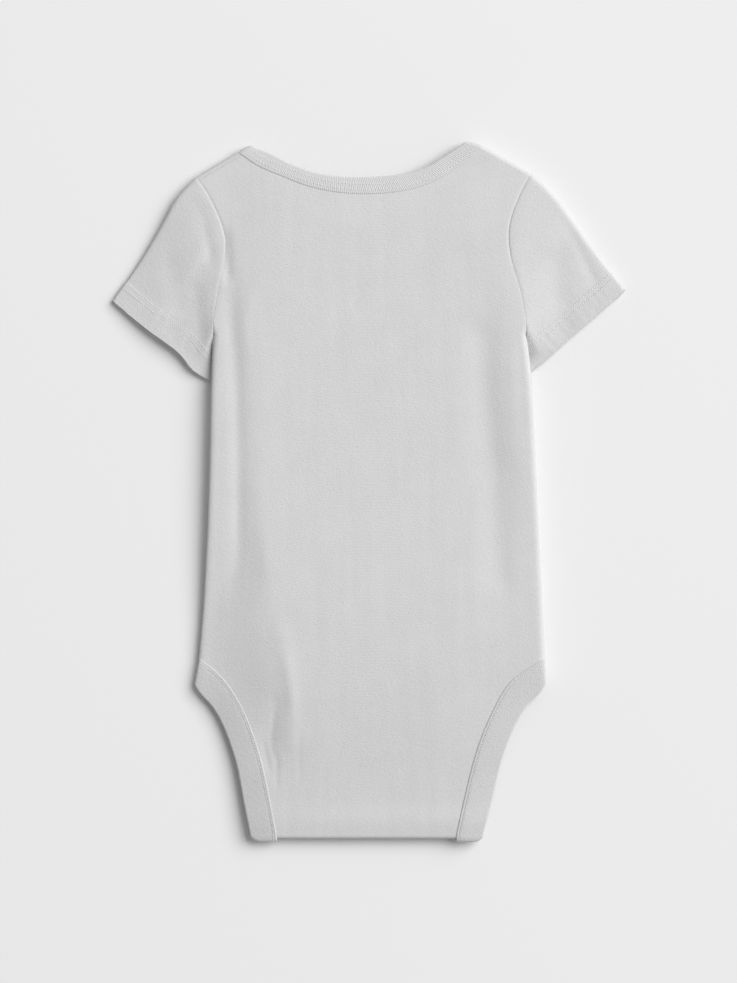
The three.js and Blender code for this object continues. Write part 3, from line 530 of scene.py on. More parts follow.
# how far the cloth on each side of an armhole seam is pulled down at the shoulder and at the underarm
SEAM_PULL = {
    ("left", "body"): (0.35, 0.15),
    ("left", "sleeve"): (0.05, 0.3),
    ("right", "body"): (0.55, 0.1),
    ("right", "sleeve"): (0.1, 0.3),
}


def seam_pull(side, part, x, y):
    gap, share = ARMHOLE[side].distance(x, y)
    at_shoulder, at_underarm = SEAM_PULL[side, part]
    depth = mix(at_shoulder, at_underarm, ease((share - 0.35) / 0.4))
    fade = np.clip((1 - share) * 8, 0, 1) * np.clip(share * 12, 0, 1)
    return -fade * depth * np.exp(-((gap / GROOVE_WIDTH) ** 2))


for side in SIDES:
    back_body[..., 2] += seam_pull(side, "body", back_body[..., 0], back_body[..., 1])

# %% The shoulder laps and the crotch tab


def lap_rows(side, first_row):
    """Rows of one lap, from the back over the shoulder fold and down the front."""
    share = SHOULDER_SHARES
    own = np.arange(SHOULDER + 1) if side == "left" else len(COLUMNS) - 1 - np.arange(SHOULDER + 1)
    top = first_row[own, 2]
    rows = []
    for angle in np.linspace(0, np.pi, ROWS["turn"])[1:]:
        layer = "back" if angle <= np.pi / 2 else "front"
        at_armhole = armhole_points(side, layer, shoulder_share(side, angle), SEAM)
        way = mix(NECK_WAY[side], LAP_WAY[side], angle / np.pi)
        at_neck = NECK_POINT[side] + way * turn_inset(angle)
        plan = mix(at_armhole, at_neck, share[:, None])
        rows.append(np.column_stack([plan, turn_height(angle, top, FLAT)]))
    start = shoulder_share(side)
    for down in np.linspace(0, 1, ROWS["lap"])[1:]:
        at_armhole = armhole_points(side, "front", mix(start, LAP_END, down), SEAM)
        plan = mix(at_armhole, LAP_EDGE[side].at(down), share[:, None])
        rows.append(np.column_stack([plan, np.full(len(share), FLAT)]))
    full = np.full((len(rows), len(COLUMNS), 3), np.nan)
    full[:, own] = np.array(rows)
    return full


def tab_rows(last_row, reaches):
    """Rows that turn under at the crotch and come up again beside the snaps."""
    rows = []
    for angle in np.linspace(0, np.pi, ROWS["turn"])[1:]:
        y = last_row[:, 1] - reaches * np.sin(angle)
        rows.append(np.column_stack([last_row[:, 0], y, turn_height(angle, last_row[:, 2], TAB_HEIGHT, 2)]))
    for share in np.linspace(0, 1, ROWS["tab"])[1:]:
        x = last_row[:, 0] * (1 - TAB_NARROWING * share)
        y = np.full(len(x), mix(CROTCH_LINE, TAB_END, share))
        rows.append(np.column_stack([x, y, np.full(len(x), TAB_HEIGHT)]))
    return np.array(rows)


laps = lap_rows("left", back_body[0])
right_lap = lap_rows("right", back_body[0])
laps[np.isfinite(right_lap)] = right_lap[np.isfinite(right_lap)]
tab = tab_rows(back_body[-1], np.full(len(COLUMNS), CROTCH_RADIUS))
back_panel = cloth_wall("back_cloth", np.concatenate([laps[::-1], back_body, tab]), JERSEY)
front_panel = cloth_wall("front_cloth", panel_grid("front", front_height)[::2, ::2], JERSEY)
print("back panel:", len(back_panel.data.polygons), "faces; front panel:", len(front_panel.data.polygons))

# %% [markdown]
# A sleeve is a tube that was sewn into the armhole and then laid flat. Its upper layer starts at the
# armhole seam and ends at the hem; its lower layer is the same, under it. Both meet in a fold along the
# top and in another at the underarm, which lies against the body's side.
# The hem is cloth turned inside and held by two rows of stitches, so it is thicker, and it puckers.

# %% The sleeves
CUFF_FOLD = {"left": 2.3, "right": 3.2}  # how high the sleeve's upper fold lies at the cuff
UNDERARM_FOLD = {"left": 1.7, "right": 2.4}
UNDERARM_SINK = {"left": 2.5, "right": 1.4}  # how soon the underarm goes down, from the armhole
CUFF_SLOPE = {"left": 1.0, "right": 0.82}  # below 1 the sleeve still slopes down at the cuff
CUFF_TOP = 0.7  # how much higher the upper layer is beside them
CUFF_OPEN = {"left": 3.2, "right": 1.3}  # and how much more it rises where the cuff stands open
CUFF_LEAN = {"left": 1.05, "right": 1.4}  # above 1 it opens most nearer the underarm
CUFF_TURN = 0.02  # the share of the cuff in which a fold turns
CUFF_CORNER = 0.7  # how much is taken off the corner of the cuff
CUFF_UNDER = (0.1, 1.2)  # the same for the lower layer, which runs in under the fold, and its power
UNDERARM_TUCK = 2.4  # how far the underarm moves in, to lie under the body's side
HEM_DEPTH = 13.9
HEM_ROWS = (13.6, 10.3)  # where the two rows of stitches run, from the cuff's edge
SECTIONS = np.concatenate([np.linspace(0, 0.5, 26), np.linspace(0.5, 0.97, 78)[1:], np.linspace(0.97, 1, 7)[1:]])
CUFF_SHARES = [0, 0.012, 0.04, 0.13, 0.24, 0.34, 0.44, 0.54, 0.63, 0.72, 0.81, 0.91, 1]
ARMHOLE_STATIONS = [0.13, 0.25, 0.37, 0.49, 0.61, 0.72, 0.81, 0.886, 0.966, 1]


def sleeve_stations(side, layer):
    """For each column: the turn over the shoulder, the share of the armhole and the share of the cuff."""
    place = np.concatenate([np.linspace(0, 2, 9)[:-1], np.linspace(2, 12, 66)])
    angle = np.interp(place, [0, 1, 2], np.radians([90, 45, 0] if layer == "back" else [90, 135, 180]))
    start = shoulder_share(side)
    share = np.interp(place, np.arange(2, 13), [start, *ARMHOLE_STATIONS])
    share = np.where(place < 2, shoulder_share(side, angle), share)
    return angle, share, np.interp(place, np.arange(13), CUFF_SHARES)


def sleeve_layer(side, layer):
    angle, share, cuff = sleeve_stations(side, layer)
    fold, hem = SLEEVE_FOLD[side], SLEEVE_HEM[side]
    top = armhole_points(side, layer, share, -SEAM)
    bottom = hem.at(cuff)
    along = SECTIONS[:, None, None]
    on_fold = fold.at(SECTIONS) + fold.inward(SECTIONS, side) * FLAT
    on_fold = on_fold + (1 - SECTIONS[:, None]) ** 4 * (top[0] - on_fold[0])
    corner = CUFF_CORNER * np.clip((SECTIONS - 0.955) / 0.045, 0, 1) ** 2
    on_fold = on_fold + corner[:, None] * fold.inward(SECTIONS, side)
    bottom[:, 0] -= SIGN[side] * UNDERARM_TUCK * ease((cuff - 0.8) / 0.2)
    bottom += np.outer(CUFF_CORNER * np.clip(1 - cuff / 0.05, 0, 1) ** 2, -fold.tangent(1.0))
    bottom[0] = on_fold[-1] = mix(bottom[0], on_fold[-1], 0.5)
    on_underarm = mix(top[-1], bottom[-1], SECTIONS[:, None])
    on_underarm[:, 0] -= SIGN[side] * 1.6 * ease(SECTIONS * 5) * (1 - SECTIONS)
    plan = mix(on_fold[:, None], on_underarm[:, None], cuff[None, :, None])
    plan = plan + (top - mix(top[0], top[-1], cuff[:, None]))[None] * (1 - along)
    plan = plan + (bottom - mix(bottom[0], bottom[-1], cuff[:, None]))[None] * along
    x, y = plan[..., 0], plan[..., 1]

    raised = fold_shape(armhole_inset(share), *SIDE_SHAPE[layer])
    roll = back_level(top[:, 0], top[:, 1])
    at_body = turn_height(angle, mix(SIDE_FOLD, roll, raised), mix(SIDE_FOLD, FLAT, raised))
    turned = fold_shape(np.minimum(cuff, 1 - cuff), *((CUFF_TURN, FOLD_POWER) if layer == "back" else CUFF_UNDER))
    at_folds = mix(CUFF_FOLD[side], UNDERARM_FOLD[side], cuff)
    if layer == "back":
        at_cuff = at_folds + CUFF_TOP * turned + CUFF_OPEN[side] * np.sin(np.pi * cuff ** CUFF_LEAN[side])
    else:
        at_cuff = mix(at_folds, FLAT_HEM, turned)
    down = CUFF_SLOPE[side]
    at_middle = ease(SECTIONS * down) / ease(down)
    at_underarm = ease(SECTIONS * UNDERARM_SINK[side])
    sinking = mix(at_middle[:, None], at_underarm[:, None], ease((cuff - 0.85) / 0.15)[None])
    z = mix(at_body[None], at_cuff[None], sinking)
    if layer == "back":
        soft = np.sin(np.pi * cuff)[None] * ease(SECTIONS * 4)[:, None]
        table = LEFT_SLEEVE_CREASES if side == "left" else RIGHT_SLEEVE_CREASES
        z = z + soft * (creases(x, y, table) + 0.8 * ripples(x, y) + hem_relief(side, x, y))
        z = z + seam_pull(side, "sleeve", x, y)
    return np.concatenate([plan, z[..., None]], -1)


def hem_relief(side, x, y):
    """The step at the turned-up edge, the dents along the stitches and the puckers between them."""
    gap, share = SLEEVE_HEM[side].distance(x, y)
    step = (0.1 - (HEM - JERSEY) / 2) * ease((HEM_DEPTH + 2 - gap) / 4)
    dents = sum(-0.14 * np.exp(-(((gap - row) / 0.6) ** 2)) for row in HEM_ROWS)
    wave = smooth_noise(share * 100, gap, 3.2, 9, 11 if side == "left" else 12)
    puckers = 0.22 * wave * np.exp(-(((gap - 8) / 7) ** 2))
    return step + dents + puckers


def sleeve(side):
    upper, lower = sleeve_layer(side, "back"), sleeve_layer(side, "front")
    rings = np.concatenate([upper, lower[:, -2:0:-1]], 1)
    gap, _ = SLEEVE_HEM[side].distance(rings[..., 0], rings[..., 1])
    thickness = JERSEY + (HEM - JERSEY) * ease((HEM_DEPTH + 2 - gap) / 4)
    return cloth_wall(f"sleeve_cloth_{side}", rings, thickness, tube=True)


sleeves = {side: sleeve(side) for side in SIDES}
print("sleeves:", [len(sleeves[side].data.polygons) for side in SIDES], "faces")

# %% [markdown]
# The neck band is a strip of rib knit, folded over the raw edge and stitched through. It is made as a
# wall like the others, but thicker, and it reaches a little over the panel so that the panel's edge
# ends inside it. Its ribs run across it. They are real relief here, because the light catches them.

# %% The neck bands
RIB_PITCH = 1.05
RIB_HEIGHT = 0.1
OVER = 0.9  # how far a band reaches over the panel
CORNER_ROUNDING = 2.6  # how much is taken off the band's corner on the shoulder
NECK_COLUMNS = np.concatenate([[0, 0.03, 0.07], np.linspace(0.12, 0.88, 10), [0.93, 0.97, 1]])


def band_grid(seam, edge, columns):
    """A grid from the seam's points to the free edge's, one row at each point."""
    start = seam - OVER * unit(edge - seam)
    return start[:, None] + (edge - start)[:, None] * columns[None, :, None]


def resample(points, step):
    """The same line with points a step apart, for each of several lines walked together."""
    lengths = np.linalg.norm(np.diff(points[0], axis=0), axis=1)
    along = np.concatenate([[0], lengths.cumsum()])
    where = np.linspace(0, along[-1], int(along[-1] / step) + 1)
    return [np.stack([np.interp(where, along, line[:, i]) for i in range(3)], -1) for line in points]


def neck_wall(name, seam, edge):
    edge, seam = resample([edge, seam], 0.2)
    grid = band_grid(seam, edge, NECK_COLUMNS)
    along = np.concatenate([[0], np.linalg.norm(np.diff(edge, axis=0), axis=1).cumsum()])
    ribs = RIB_HEIGHT * np.cos(2 * np.pi * along / RIB_PITCH)[:, None]
    rounded = 0.25 * (1 - (2 * NECK_COLUMNS - 1) ** 2)[None]
    return cloth_wall(name, grid, BAND - 0.4 + rounded + 2 * ribs)


def lap_band(side, top):
    """The seam and edge of the band over one shoulder and round the lap, from the back down."""
    seam, edge = [], []
    for angle in np.linspace(0, np.pi, ROWS["turn"])[1:]:
        way = mix(NECK_WAY[side], LAP_WAY[side], angle / np.pi) * (turn_inset(angle) + 0.4 * np.sin(angle))
        seam.append([*(NECK_POINT[side] + way), turn_height(angle, top, FLAT_BAND)])
        rounding = CORNER_ROUNDING * np.sin(angle) ** 3 * unit(NECK_POINT[side] - NECK_PEAK[side])
        edge.append([*(NECK_PEAK[side] + way + rounding), turn_height(angle, top - BAND_DROOP, FLAT_BAND)])
    for down in np.linspace(0, 1, ROWS["lap"])[1:]:
        seam.append([*LAP_EDGE[side].at(down), FLAT_BAND])
        edge.append([*LAP_BAND_EDGE[side].at(down), FLAT_BAND])
    return np.array(seam), np.array(edge)


neck_row = back_body[0, SHOULDER : len(COLUMNS) - SHOULDER]
neck_shares = np.linspace(0, 1, len(neck_row))
back_seam = neck_row.copy()
back_edge = np.column_stack([BACK_NECK_EDGE.at(neck_shares), neck_row[:, 2] - BAND_DROOP])
left_seam, left_edge = lap_band("left", neck_row[0, 2])
right_seam, right_edge = lap_band("right", neck_row[-1, 2])
back_neck_seam = np.concatenate([left_seam[::-1], back_seam, right_seam])
back_neck_edge = np.concatenate([left_edge[::-1], back_edge, right_edge])
back_neck = neck_wall("neck_band_back", back_neck_seam, back_neck_edge)

front_share = np.linspace(0, 1, 90)
front_seam, front_edge = FRONT_NECK.at(front_share), FRONT_NECK_EDGE.at(front_share)
front_seam = np.column_stack([front_seam, FLAT_BAND + front_lift(*front_seam.T)])
front_edge = np.column_stack([front_edge, FLAT_BAND + front_lift(*front_edge.T)])
front_neck = neck_wall("neck_band_front", front_seam, front_edge)
print("neck bands:", len(back_neck.data.polygons), len(front_neck.data.polygons), "faces")

# %% [markdown]
# Each leg band is one strip, folded over the raw edge of the leg opening. It starts at the front flap,
# runs up to the hip, turns over the side fold and comes down the back leg. At the crotch it turns under
# with the back. Its corner there is thick and rounded.

# %% The leg bands
LEG_PITCH = 1.55  # from one needle hole of its row of stitches to the next
LEG_DROOP = 1.0  # how much lower its free edge lies than its seam
LEG_COLUMNS = np.concatenate([np.arange(0, 0.18, 0.015), [0.21, 0.25], np.linspace(0.3, 0.9, 8), [0.94, 0.97, 1]])
LEG_ROW = 6  # the column along which it is stitched
HOLE_DEPTH = {"left": 1.6, "right": 0.5}
HOLE_POWER = {"left": 3, "right": 4}  # a higher power makes shorter holes
LEG_THREAD = {"left": 0.00065, "right": 0.0007}


def leg_band_lines(side, layer):
    share = np.linspace(0, 1, 360) ** 1.1
    seam, inset = leg_points(side, layer, share, 0, FLAT_BAND)
    curve = (BACK_LEG_EDGE if layer == "back" else FRONT_LEG_EDGE)[side]
    edge = curve.at(share)
    edge_inset = SIGN[side] * (curve.points[0, 0] - edge[:, 0])
    edge[:, 0] -= SIGN[side] * np.maximum(0, FLAT_BAND - edge_inset)

    def height(points, depth):
        if layer == "back":
            level = back_level(points[:, 0], points[:, 1]) + BAND_PROUD[side]
        else:
            level = FLAT_BAND + front_lift(points[:, 0], points[:, 1])
        return mix(fold_line(points[:, 0], points[:, 1]), level, fold_shape(depth, *SIDE_SHAPE[layer]))

    droop = LEG_DROOP * fold_shape(edge_inset, 3 * SIDE_RADIUS) if layer == "back" else 0
    return np.column_stack([seam, height(seam, inset)]), np.column_stack([edge, height(edge, edge_inset) - droop])


def leg_band(side):
    (back_seam, back_edge), (front_seam, front_edge) = (leg_band_lines(side, layer) for layer in ("back", "front"))
    seam = np.concatenate([front_seam[:0:-1], back_seam])
    edge = np.concatenate([front_edge[:0:-1], back_edge])
    grid = band_grid(seam, edge, LEG_COLUMNS)
    reach = mix(CROTCH_BAND_REACH, 0.9, np.clip((LEG_COLUMNS - 0.4) / 0.6, 0, 1) ** 5)
    grid = np.concatenate([grid, tab_rows(grid[-1], reach)])
    rounded = 0.2 * (1 - (2 * LEG_COLUMNS - 1) ** 2)
    thickness = (BAND - 0.3 + rounded - 0.3 * np.exp(-((LEG_COLUMNS / 0.12) ** 2)))[None]
    row = grid[:, LEG_ROW]
    along = np.concatenate([[0], np.linalg.norm(np.diff(row, axis=0), axis=1).cumsum()])
    holes = 0.5 - 0.5 * np.cos(2 * np.pi * along * int(along[-1] / LEG_PITCH) / along[-1])
    dent = np.exp(-(((LEG_COLUMNS - LEG_COLUMNS[LEG_ROW]) / 0.035) ** 2))[None]
    dent = dent * HOLE_DEPTH[side] * (holes ** HOLE_POWER[side])[:, None]
    outward = unit(np.cross(grid[:, LEG_ROW + 1] - grid[:, LEG_ROW - 1], np.gradient(row, axis=0)))
    outward *= np.sign(outward[len(outward) * 3 // 4, 2])
    thread_row = row + outward * thickness[0, LEG_ROW] / 2
    grid = grid - outward[:, None] * dent[..., None] / 2
    return cloth_wall(f"leg_band_cloth_{side}", grid, thickness - dent), thread_row


leg_bands, leg_rows = {}, {}
for side in SIDES:
    leg_bands[side], leg_rows[side] = leg_band(side)
print("leg bands:", [len(leg_bands[side].data.polygons) for side in SIDES], "faces")

# %% [markdown]
# Jersey is a knit. Close up it has fine columns of stitches that run down the piece, with a soft fuzz
# over them. From half a metre away only a faint grain is left, so the material keeps the relief very
# low: a knit pattern along the cloth's own UV, a fine noise for the fuzz, and a slow change of tone.
# It also paints shade into the colour: each knit is made up to 4% darker from the hips down to the crotch.

# %% Materials


def new_material(name):
    material = bpy.data.materials.new(name)
    material.use_nodes = True
    return material, material.node_tree.nodes, material.node_tree.links, material.node_tree.nodes["Principled BSDF"]


def math_node(nodes, links, operation, first, second=None):
    node = nodes.new("ShaderNodeMath")
    node.operation = operation
    for socket, value in zip(node.inputs, (first, second)):
        if value is None:
            continue
        if isinstance(value, (int, float)):
            socket.default_value = value
        else:
            links.new(value, socket)
    return node.outputs[0]


def knit_material(name, grey, wale, course, relief, tone_change=0.02, slant=0.0):
    """A grey knit: wale and course are the pitches of its columns and rows of loops, in metres."""
    material, nodes, links, shader = new_material(name)
    uv = nodes.new("ShaderNodeUVMap")
    uv.uv_map = "cloth"
    place = nodes.new("ShaderNodeSeparateXYZ")
    links.new(uv.outputs[0], place.inputs[0])
    coordinates = nodes.new("ShaderNodeTexCoord")

    slanted = math_node(nodes, links, "MULTIPLY_ADD", place.outputs[1], slant)
    links.new(place.outputs[0], slanted.node.inputs[2])
    columns = math_node(nodes, links, "SINE", math_node(nodes, links, "MULTIPLY", slanted, 2 * math.pi / wale))
    bend = math_node(nodes, links, "ABSOLUTE", columns)
    leaning = math_node(nodes, links, "MULTIPLY_ADD", bend, course * 0.5)
    links.new(place.outputs[1], leaning.node.inputs[2])
    loops = math_node(nodes, links, "SINE", math_node(nodes, links, "MULTIPLY", leaning, 2 * math.pi / course))
    knit = math_node(nodes, links, "MULTIPLY_ADD", loops, 0.5)
    links.new(bend, knit.node.inputs[2])

    def noise(scale, detail):
        node = nodes.new("ShaderNodeTexNoise")
        node.inputs["Scale"].default_value = scale
        node.inputs["Detail"].default_value = detail
        links.new(coordinates.outputs["Object"], node.inputs["Vector"])
        return node.outputs[0]

    fuzz = noise(2000, 2)
    yarn = noise(700, 3)
    height = math_node(nodes, links, "ADD", math_node(nodes, links, "MULTIPLY", knit, 0.33), fuzz)
    height = math_node(nodes, links, "ADD", height, math_node(nodes, links, "MULTIPLY", yarn, 1.4))
    bump = nodes.new("ShaderNodeBump")
    bump.inputs["Strength"].default_value = 1.0
    bump.inputs["Distance"].default_value = relief
    links.new(height, bump.inputs["Height"])
    links.new(bump.outputs[0], shader.inputs["Normal"])

    tone = math_node(nodes, links, "MULTIPLY", math_node(nodes, links, "ADD", noise(60, 3), yarn), 0.5)
    ramp = nodes.new("ShaderNodeMapRange")
    ramp.inputs["From Min"].default_value = 0.3
    ramp.inputs["From Max"].default_value = 0.7
    ramp.inputs["To Min"].default_value = grey * (1 - tone_change)
    ramp.inputs["To Max"].default_value = grey * (1 + tone_change)
    links.new(tone, ramp.inputs["Value"])
    # Painted shade: the colour is made up to 4% darker from y = -40 mm down to y = -160 mm, towards the crotch,
    # standing in for shade on the lower body.
    height_on_body = nodes.new("ShaderNodeSeparateXYZ")
    links.new(coordinates.outputs["Object"], height_on_body.inputs[0])
    painted_shade_to_crotch = nodes.new("ShaderNodeMapRange")
    painted_shade_to_crotch.inputs["From Min"].default_value = -0.16
    painted_shade_to_crotch.inputs["From Max"].default_value = -0.04
    painted_shade_to_crotch.inputs["To Min"].default_value = 0.96
    links.new(height_on_body.outputs[1], painted_shade_to_crotch.inputs["Value"])
    shade = math_node(nodes, links, "MULTIPLY", ramp.outputs[0], painted_shade_to_crotch.outputs[0])
    colour = nodes.new("ShaderNodeCombineColor")
    for channel in colour.inputs:
        links.new(shade, channel)
    links.new(colour.outputs[0], shader.inputs["Base Color"])
    shader.inputs["Roughness"].default_value = 0.95
    shader.inputs["Specular IOR Level"].default_value = 0.15
    return material


GREY = 0.65
jersey = knit_material("grey_jersey", GREY * 1.012, 0.0011, 0.0009, 0.00012, tone_change=0.03)
rib_knit = knit_material("grey_rib", GREY * 0.975, 0.00105, 0.001, 0.00004)
band_knit = knit_material("grey_band_knit", GREY, 0.0016, 0.0011, 0.00018, slant=0.7)
sleeve_jersey = knit_material("grey_sleeve_jersey", GREY * 1.015, 0.0011, 0.0009, 0.00016, tone_change=0.04)


def snap_finish():
    material, nodes, links, shader = new_material("snap_metal")
    shader.inputs["Base Color"].default_value = (0.7, 0.7, 0.69, 1)
    shader.inputs["Metallic"].default_value = 0.9
    scratches = nodes.new("ShaderNodeTexNoise")
    scratches.inputs["Scale"].default_value = 1500
    coordinates = nodes.new("ShaderNodeTexCoord")
    links.new(coordinates.outputs["Object"], scratches.inputs["Vector"])
    roughness = nodes.new("ShaderNodeMapRange")
    roughness.inputs["To Min"].default_value = 0.25
    roughness.inputs["To Max"].default_value = 0.45
    links.new(scratches.outputs[0], roughness.inputs["Value"])
    links.new(roughness.outputs[0], shader.inputs["Roughness"])
    return material


def thread_finish():
    material, nodes, links, shader = new_material("grey_thread_painted_highlight")
    shader.inputs["Roughness"].default_value = 0.7
    coordinates = nodes.new("ShaderNodeTexCoord")
    ply = nodes.new("ShaderNodeTexNoise")
    ply.inputs["Scale"].default_value = 3000
    links.new(coordinates.outputs["Object"], ply.inputs["Vector"])
    # Painted highlight: the thread is made 10 to 35% lighter than the cloth's grey, standing in for light on the raised
    # stitches. The ply noise varies its tone at random.
    tone = nodes.new("ShaderNodeValToRGB")
    tone.color_ramp.elements[0].color = (GREY * 1.1, GREY * 1.1, GREY * 1.1, 1)
    tone.color_ramp.elements[1].color = (GREY * 1.35, GREY * 1.35, GREY * 1.35, 1)
    links.new(ply.outputs[0], tone.inputs[0])
    links.new(tone.outputs[0], shader.inputs["Base Color"])
    return material


snap_metal = snap_finish()
thread = thread_finish()

# %% [markdown]
# Stitches repeat, so Geometry Nodes lays them: a path in, one small loop of thread every few
# millimetres along it, all made real at the end. The paths come from the outlines, dropped onto the
# finished cloth so that each stitch is half sunk in it.

# %% The stitch maker


def stitch_tree():
    tree = bpy.data.node_groups.new("stitches", "GeometryNodeTree")
    face = tree.interface
    face.new_socket("Path", in_out="INPUT", socket_type="NodeSocketGeometry")
    for name, value in (("Pitch", 0.0024), ("Length", 0.0017), ("Width", 0.0005), ("Turn", 0.0)):
        face.new_socket(name, in_out="INPUT", socket_type="NodeSocketFloat").default_value = value
    face.new_socket("Thread", in_out="INPUT", socket_type="NodeSocketMaterial")
    face.new_socket("Stitches", in_out="OUTPUT", socket_type="NodeSocketGeometry")
    nodes, links = tree.nodes, tree.links
    given, result = nodes.new("NodeGroupInput"), nodes.new("NodeGroupOutput")

    path = nodes.new("GeometryNodeMeshToCurve")
    links.new(given.outputs["Path"], path.inputs[0])
    spaced = nodes.new("GeometryNodeResampleCurve")
    spaced.mode = "LENGTH"
    links.new(path.outputs[0], spaced.inputs["Curve"])
    links.new(given.outputs["Pitch"], spaced.inputs["Length"])

    ball = nodes.new("GeometryNodeMeshUVSphere")
    ball.inputs["Segments"].default_value = 6
    ball.inputs["Rings"].default_value = 5
    ball.inputs["Radius"].default_value = 0.5
    tangent = nodes.new("GeometryNodeInputTangent")
    aim = nodes.new("FunctionNodeAlignEulerToVector")
    aim.axis = "X"
    links.new(tangent.outputs[0], aim.inputs["Vector"])
    turn = nodes.new("FunctionNodeRotateEuler")
    turn.space = "LOCAL"
    links.new(aim.outputs[0], turn.inputs[0])
    angle = nodes.new("ShaderNodeCombineXYZ")
    links.new(given.outputs["Turn"], angle.inputs[2])
    links.new(angle.outputs[0], turn.inputs[1])
    size = nodes.new("ShaderNodeCombineXYZ")
    links.new(given.outputs["Length"], size.inputs[0])
    links.new(given.outputs["Width"], size.inputs[1])
    links.new(given.outputs["Width"], size.inputs[2])

    placed = nodes.new("GeometryNodeInstanceOnPoints")
    links.new(spaced.outputs[0], placed.inputs["Points"])
    links.new(ball.outputs[0], placed.inputs["Instance"])
    links.new(turn.outputs[0], placed.inputs["Rotation"])
    links.new(size.outputs[0], placed.inputs["Scale"])
    real = nodes.new("GeometryNodeRealizeInstances")
    links.new(placed.outputs[0], real.inputs[0])
    finish = nodes.new("GeometryNodeSetMaterial")
    links.new(real.outputs[0], finish.inputs["Geometry"])
    links.new(given.outputs["Thread"], finish.inputs["Material"])
    smooth = nodes.new("GeometryNodeSetShadeSmooth")
    links.new(finish.outputs[0], smooth.inputs["Geometry"])
    links.new(smooth.outputs[0], result.inputs[0])
    return tree


STITCHES = stitch_tree()
IDENTIFIERS = {item.name: item.identifier for item in STITCHES.interface.items_tree}


def stitches(name, paths, **sizes):
    """One mesh of stitches along every path. Each path is a list of points in millimetres."""
    mesh = bpy.data.meshes.new(name)
    points, edges = [], []
    for path in paths:
        first = len(points)
        points += [tuple(point * MM) for point in path]
        edges += [(i, i + 1) for i in range(first, len(points) - 1)]
    mesh.from_pydata(points, edges, [])
    source = bpy.data.objects.new(name, mesh)
    bpy.context.scene.collection.objects.link(source)
    modifier = source.modifiers.new("stitches", "NODES")
    modifier.node_group = STITCHES
    for key, value in {"Thread": thread, **sizes}.items():
        modifier[IDENTIFIERS[key]] = value
    source.update_tag()
    shown = source.evaluated_get(bpy.context.evaluated_depsgraph_get())
    made = bpy.data.meshes.new_from_object(shown)
    bpy.data.objects.remove(source)
    piece = bpy.data.objects.new(name, made)
    bpy.context.scene.collection.objects.link(piece)
    return piece


def drop_onto(piece, points, sink, from_below=False):
    """The points moved down, or up, onto a piece's surface, and a little into it."""
    tree = BVHTree.FromObject(piece, bpy.context.evaluated_depsgraph_get())
    sign = -1 if from_below else 1
    landed = []
    for x, y in points:
        hit = tree.ray_cast(Vector((x * MM, y * MM, sign * 0.1)), Vector((0, 0, -sign)))[0]
        if hit is not None:
            landed.append(np.array([x, y, hit.z / MM - sign * sink]))
    return landed


# %% Stitches on the hems, the legs and the neck


def hem_paths(side):
    hem = SLEEVE_HEM[side]
    paths = []
    for row in HEM_ROWS:
        share = np.linspace(0.02, 0.985, 120)
        normal = hem.inward(share, side)
        line = hem.at(share) + row * normal * (1 if (normal[0] @ (ARMHOLE[side].at(0.5) - hem.at(0.5))) > 0 else -1)
        paths += [drop_onto(sleeves[side], line, -0.1), drop_onto(sleeves[side], line, 0.15, from_below=True)]
    return paths


hem_stitches = {
    side: stitches(f"hem_stitches_{side}", hem_paths(side), Pitch=0.0014, Length=0.00085, Width=0.00072)
    for side in SIDES
}
leg_stitches = {
    side: stitches(
        f"leg_stitches_{side}", [leg_rows[side]], Pitch=LEG_PITCH * MM, Length=0.0009, Width=LEG_THREAD[side]
    )
    for side in SIDES
}

NECK_ROWS = (1.4, 4.7)  # where the two rows run, from the seam


def neck_paths():
    paths = []
    for row in NECK_ROWS:
        for band, seam, edge, start, below in (
            (back_neck, BACK_NECK, BACK_NECK_EDGE, 0.01, False),
            (front_neck, FRONT_NECK, FRONT_NECK_EDGE, 0.2, True),
        ):
            share = np.linspace(start, 1 - start, 260)
            across = unit(edge.at(share) - seam.at(share))
            paths.append(drop_onto(band, seam.at(share) + row * across, 0.15 if below else 0, from_below=below))
    return paths


neck_stitches = stitches("neck_stitches", neck_paths(), Pitch=0.0021, Length=0.00095, Width=0.0007)
stitch_rows = [*hem_stitches.values(), *leg_stitches.values(), neck_stitches]
print("stitches:", sum(len(row.data.polygons) for row in stitch_rows), "faces")

# %% [markdown]
# Now each skin takes its finish, stands for its CAD node and rides on the one body. The table also lists
# each cloth's slot and the size of the cut that shows: width, length and area, in metres and square
# metres, though nothing here uses them. A sleeve is counted all round its tube, and a band once along its
# shown width.

# %% Finishes and places
# piece, the node that it stands for, its finish, its slot, width and length of the cut, and its area
CLOTH = [
    (back_panel, "back_panel", jersey, "jersey", (0.21, 0.48), 0.0767),
    (front_panel, "front_panel", jersey, "jersey", (0.21, 0.41), 0.0665),
    (sleeves["left"], "sleeve_left", sleeve_jersey, "jersey", (0.16, 0.095), 0.0096),
    (sleeves["right"], "sleeve_right", sleeve_jersey, "jersey", (0.16, 0.095), 0.0096),
    (back_neck, "back_neck_band", rib_knit, "bands", (0.0112, 0.268), 0.0028),
    (front_neck, "front_neck_band", rib_knit, "bands", (0.0112, 0.157), 0.0016),
    (leg_bands["left"], "leg_band_left", band_knit, "bands", (0.0145, 0.272), 0.0034),
    (leg_bands["right"], "leg_band_right", band_knit, "bands", (0.0145, 0.272), 0.0034),
]


def dress(piece, material):
    piece.data.materials.clear()
    piece.data.materials.append(material)
    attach(piece, "root")


for stitch_row in stitch_rows:
    dress(stitch_row, thread)
for piece, node, material, slot, flat, area in CLOTH:
    dress(piece, material)
    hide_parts(node)
for name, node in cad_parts.items():
    if name.startswith("snap"):
        for place in node.material_slots:
            place.material = snap_metal

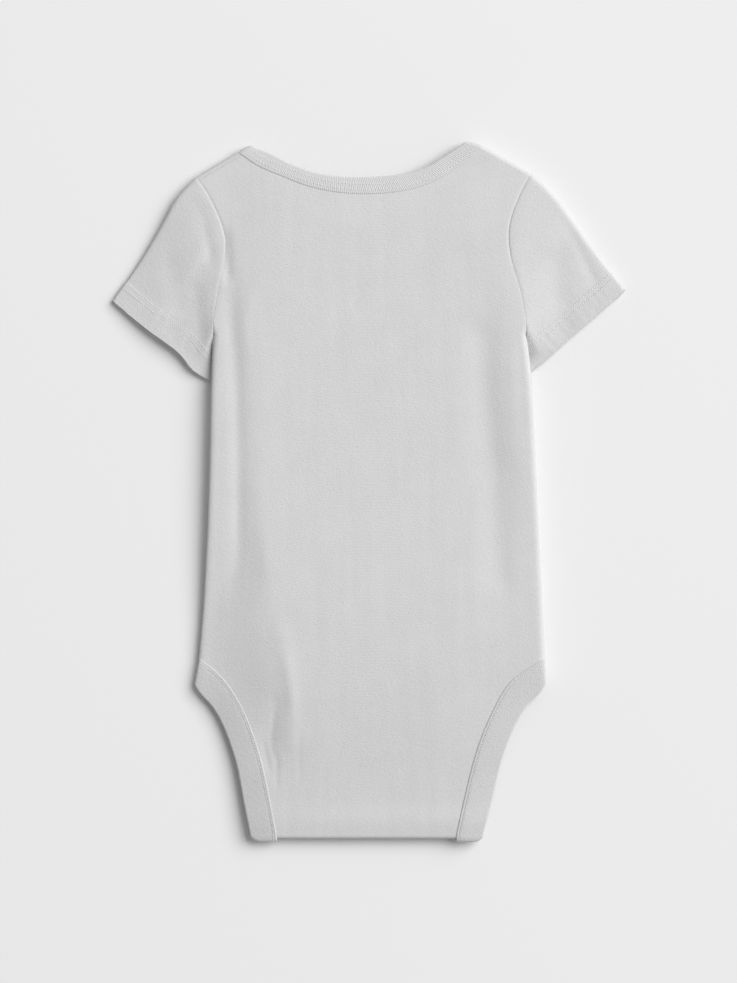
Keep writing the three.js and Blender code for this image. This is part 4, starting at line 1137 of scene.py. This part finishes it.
# %% [markdown]
# The photograph was taken straight from above on a near-white table. A big soft light stands low on the
# right, so the left edges throw a soft shadow and the right edges catch the light.

# %% Table, lights and camera
table_mesh = bpy.data.meshes.new("table")
table_mesh.from_pydata([(-3, -3, 0), (3, -3, 0), (3, 3, 0), (-3, 3, 0)], [], [(0, 1, 2, 3)])
table = bpy.data.objects.new("table", table_mesh)
bpy.context.scene.collection.objects.link(table)
table_finish, _, _, table_shader = new_material("white_table")
table_shader.inputs["Base Color"].default_value = (0.82, 0.82, 0.82, 1)
table_shader.inputs["Roughness"].default_value = 0.9
table_shader.inputs["Specular IOR Level"].default_value = 0.1
table_mesh.materials.append(table_finish)

world = bpy.data.worlds.new("studio")
bpy.context.scene.world = world
world.use_nodes = True
world.node_tree.nodes["Background"].inputs["Color"].default_value = (1, 1, 1, 1)
world.node_tree.nodes["Background"].inputs["Strength"].default_value = 0.305


def soft_light(name, azimuth, elevation, distance, size, power):
    """A square light that looks at the garment. Azimuth 0 is the wearer's right, 90 the neck."""
    light = bpy.data.lights.new(name, "AREA")
    light.size = size
    light.energy = power
    lamp = bpy.data.objects.new(name, light)
    a, e = math.radians(azimuth), math.radians(elevation)
    direction = Vector((math.cos(a) * math.cos(e), math.sin(a) * math.cos(e), math.sin(e)))
    lamp.location = direction * distance
    lamp.rotation_euler = direction.to_track_quat("Z", "Y").to_euler()
    bpy.context.scene.collection.objects.link(lamp)
    return lamp


soft_light("window", 31, 44, 12.0, 9.9, 1765)

PIXEL = 0.6 * MM
PICTURE_HEIGHT = 983 * PIXEL
CAMERA_HEIGHT = 2.2
camera_data = bpy.data.cameras.new("camera")
camera_data.lens = camera_data.sensor_width * CAMERA_HEIGHT / PICTURE_HEIGHT
camera = bpy.data.objects.new("camera", camera_data)
camera.location = (-0.00006, -0.00018, CAMERA_HEIGHT + 0.006)
bpy.context.scene.collection.objects.link(camera)
bpy.context.scene.camera = camera
bpy.context.scene.view_settings.view_transform = "Standard"

# %% The last message
print("the scene is built")
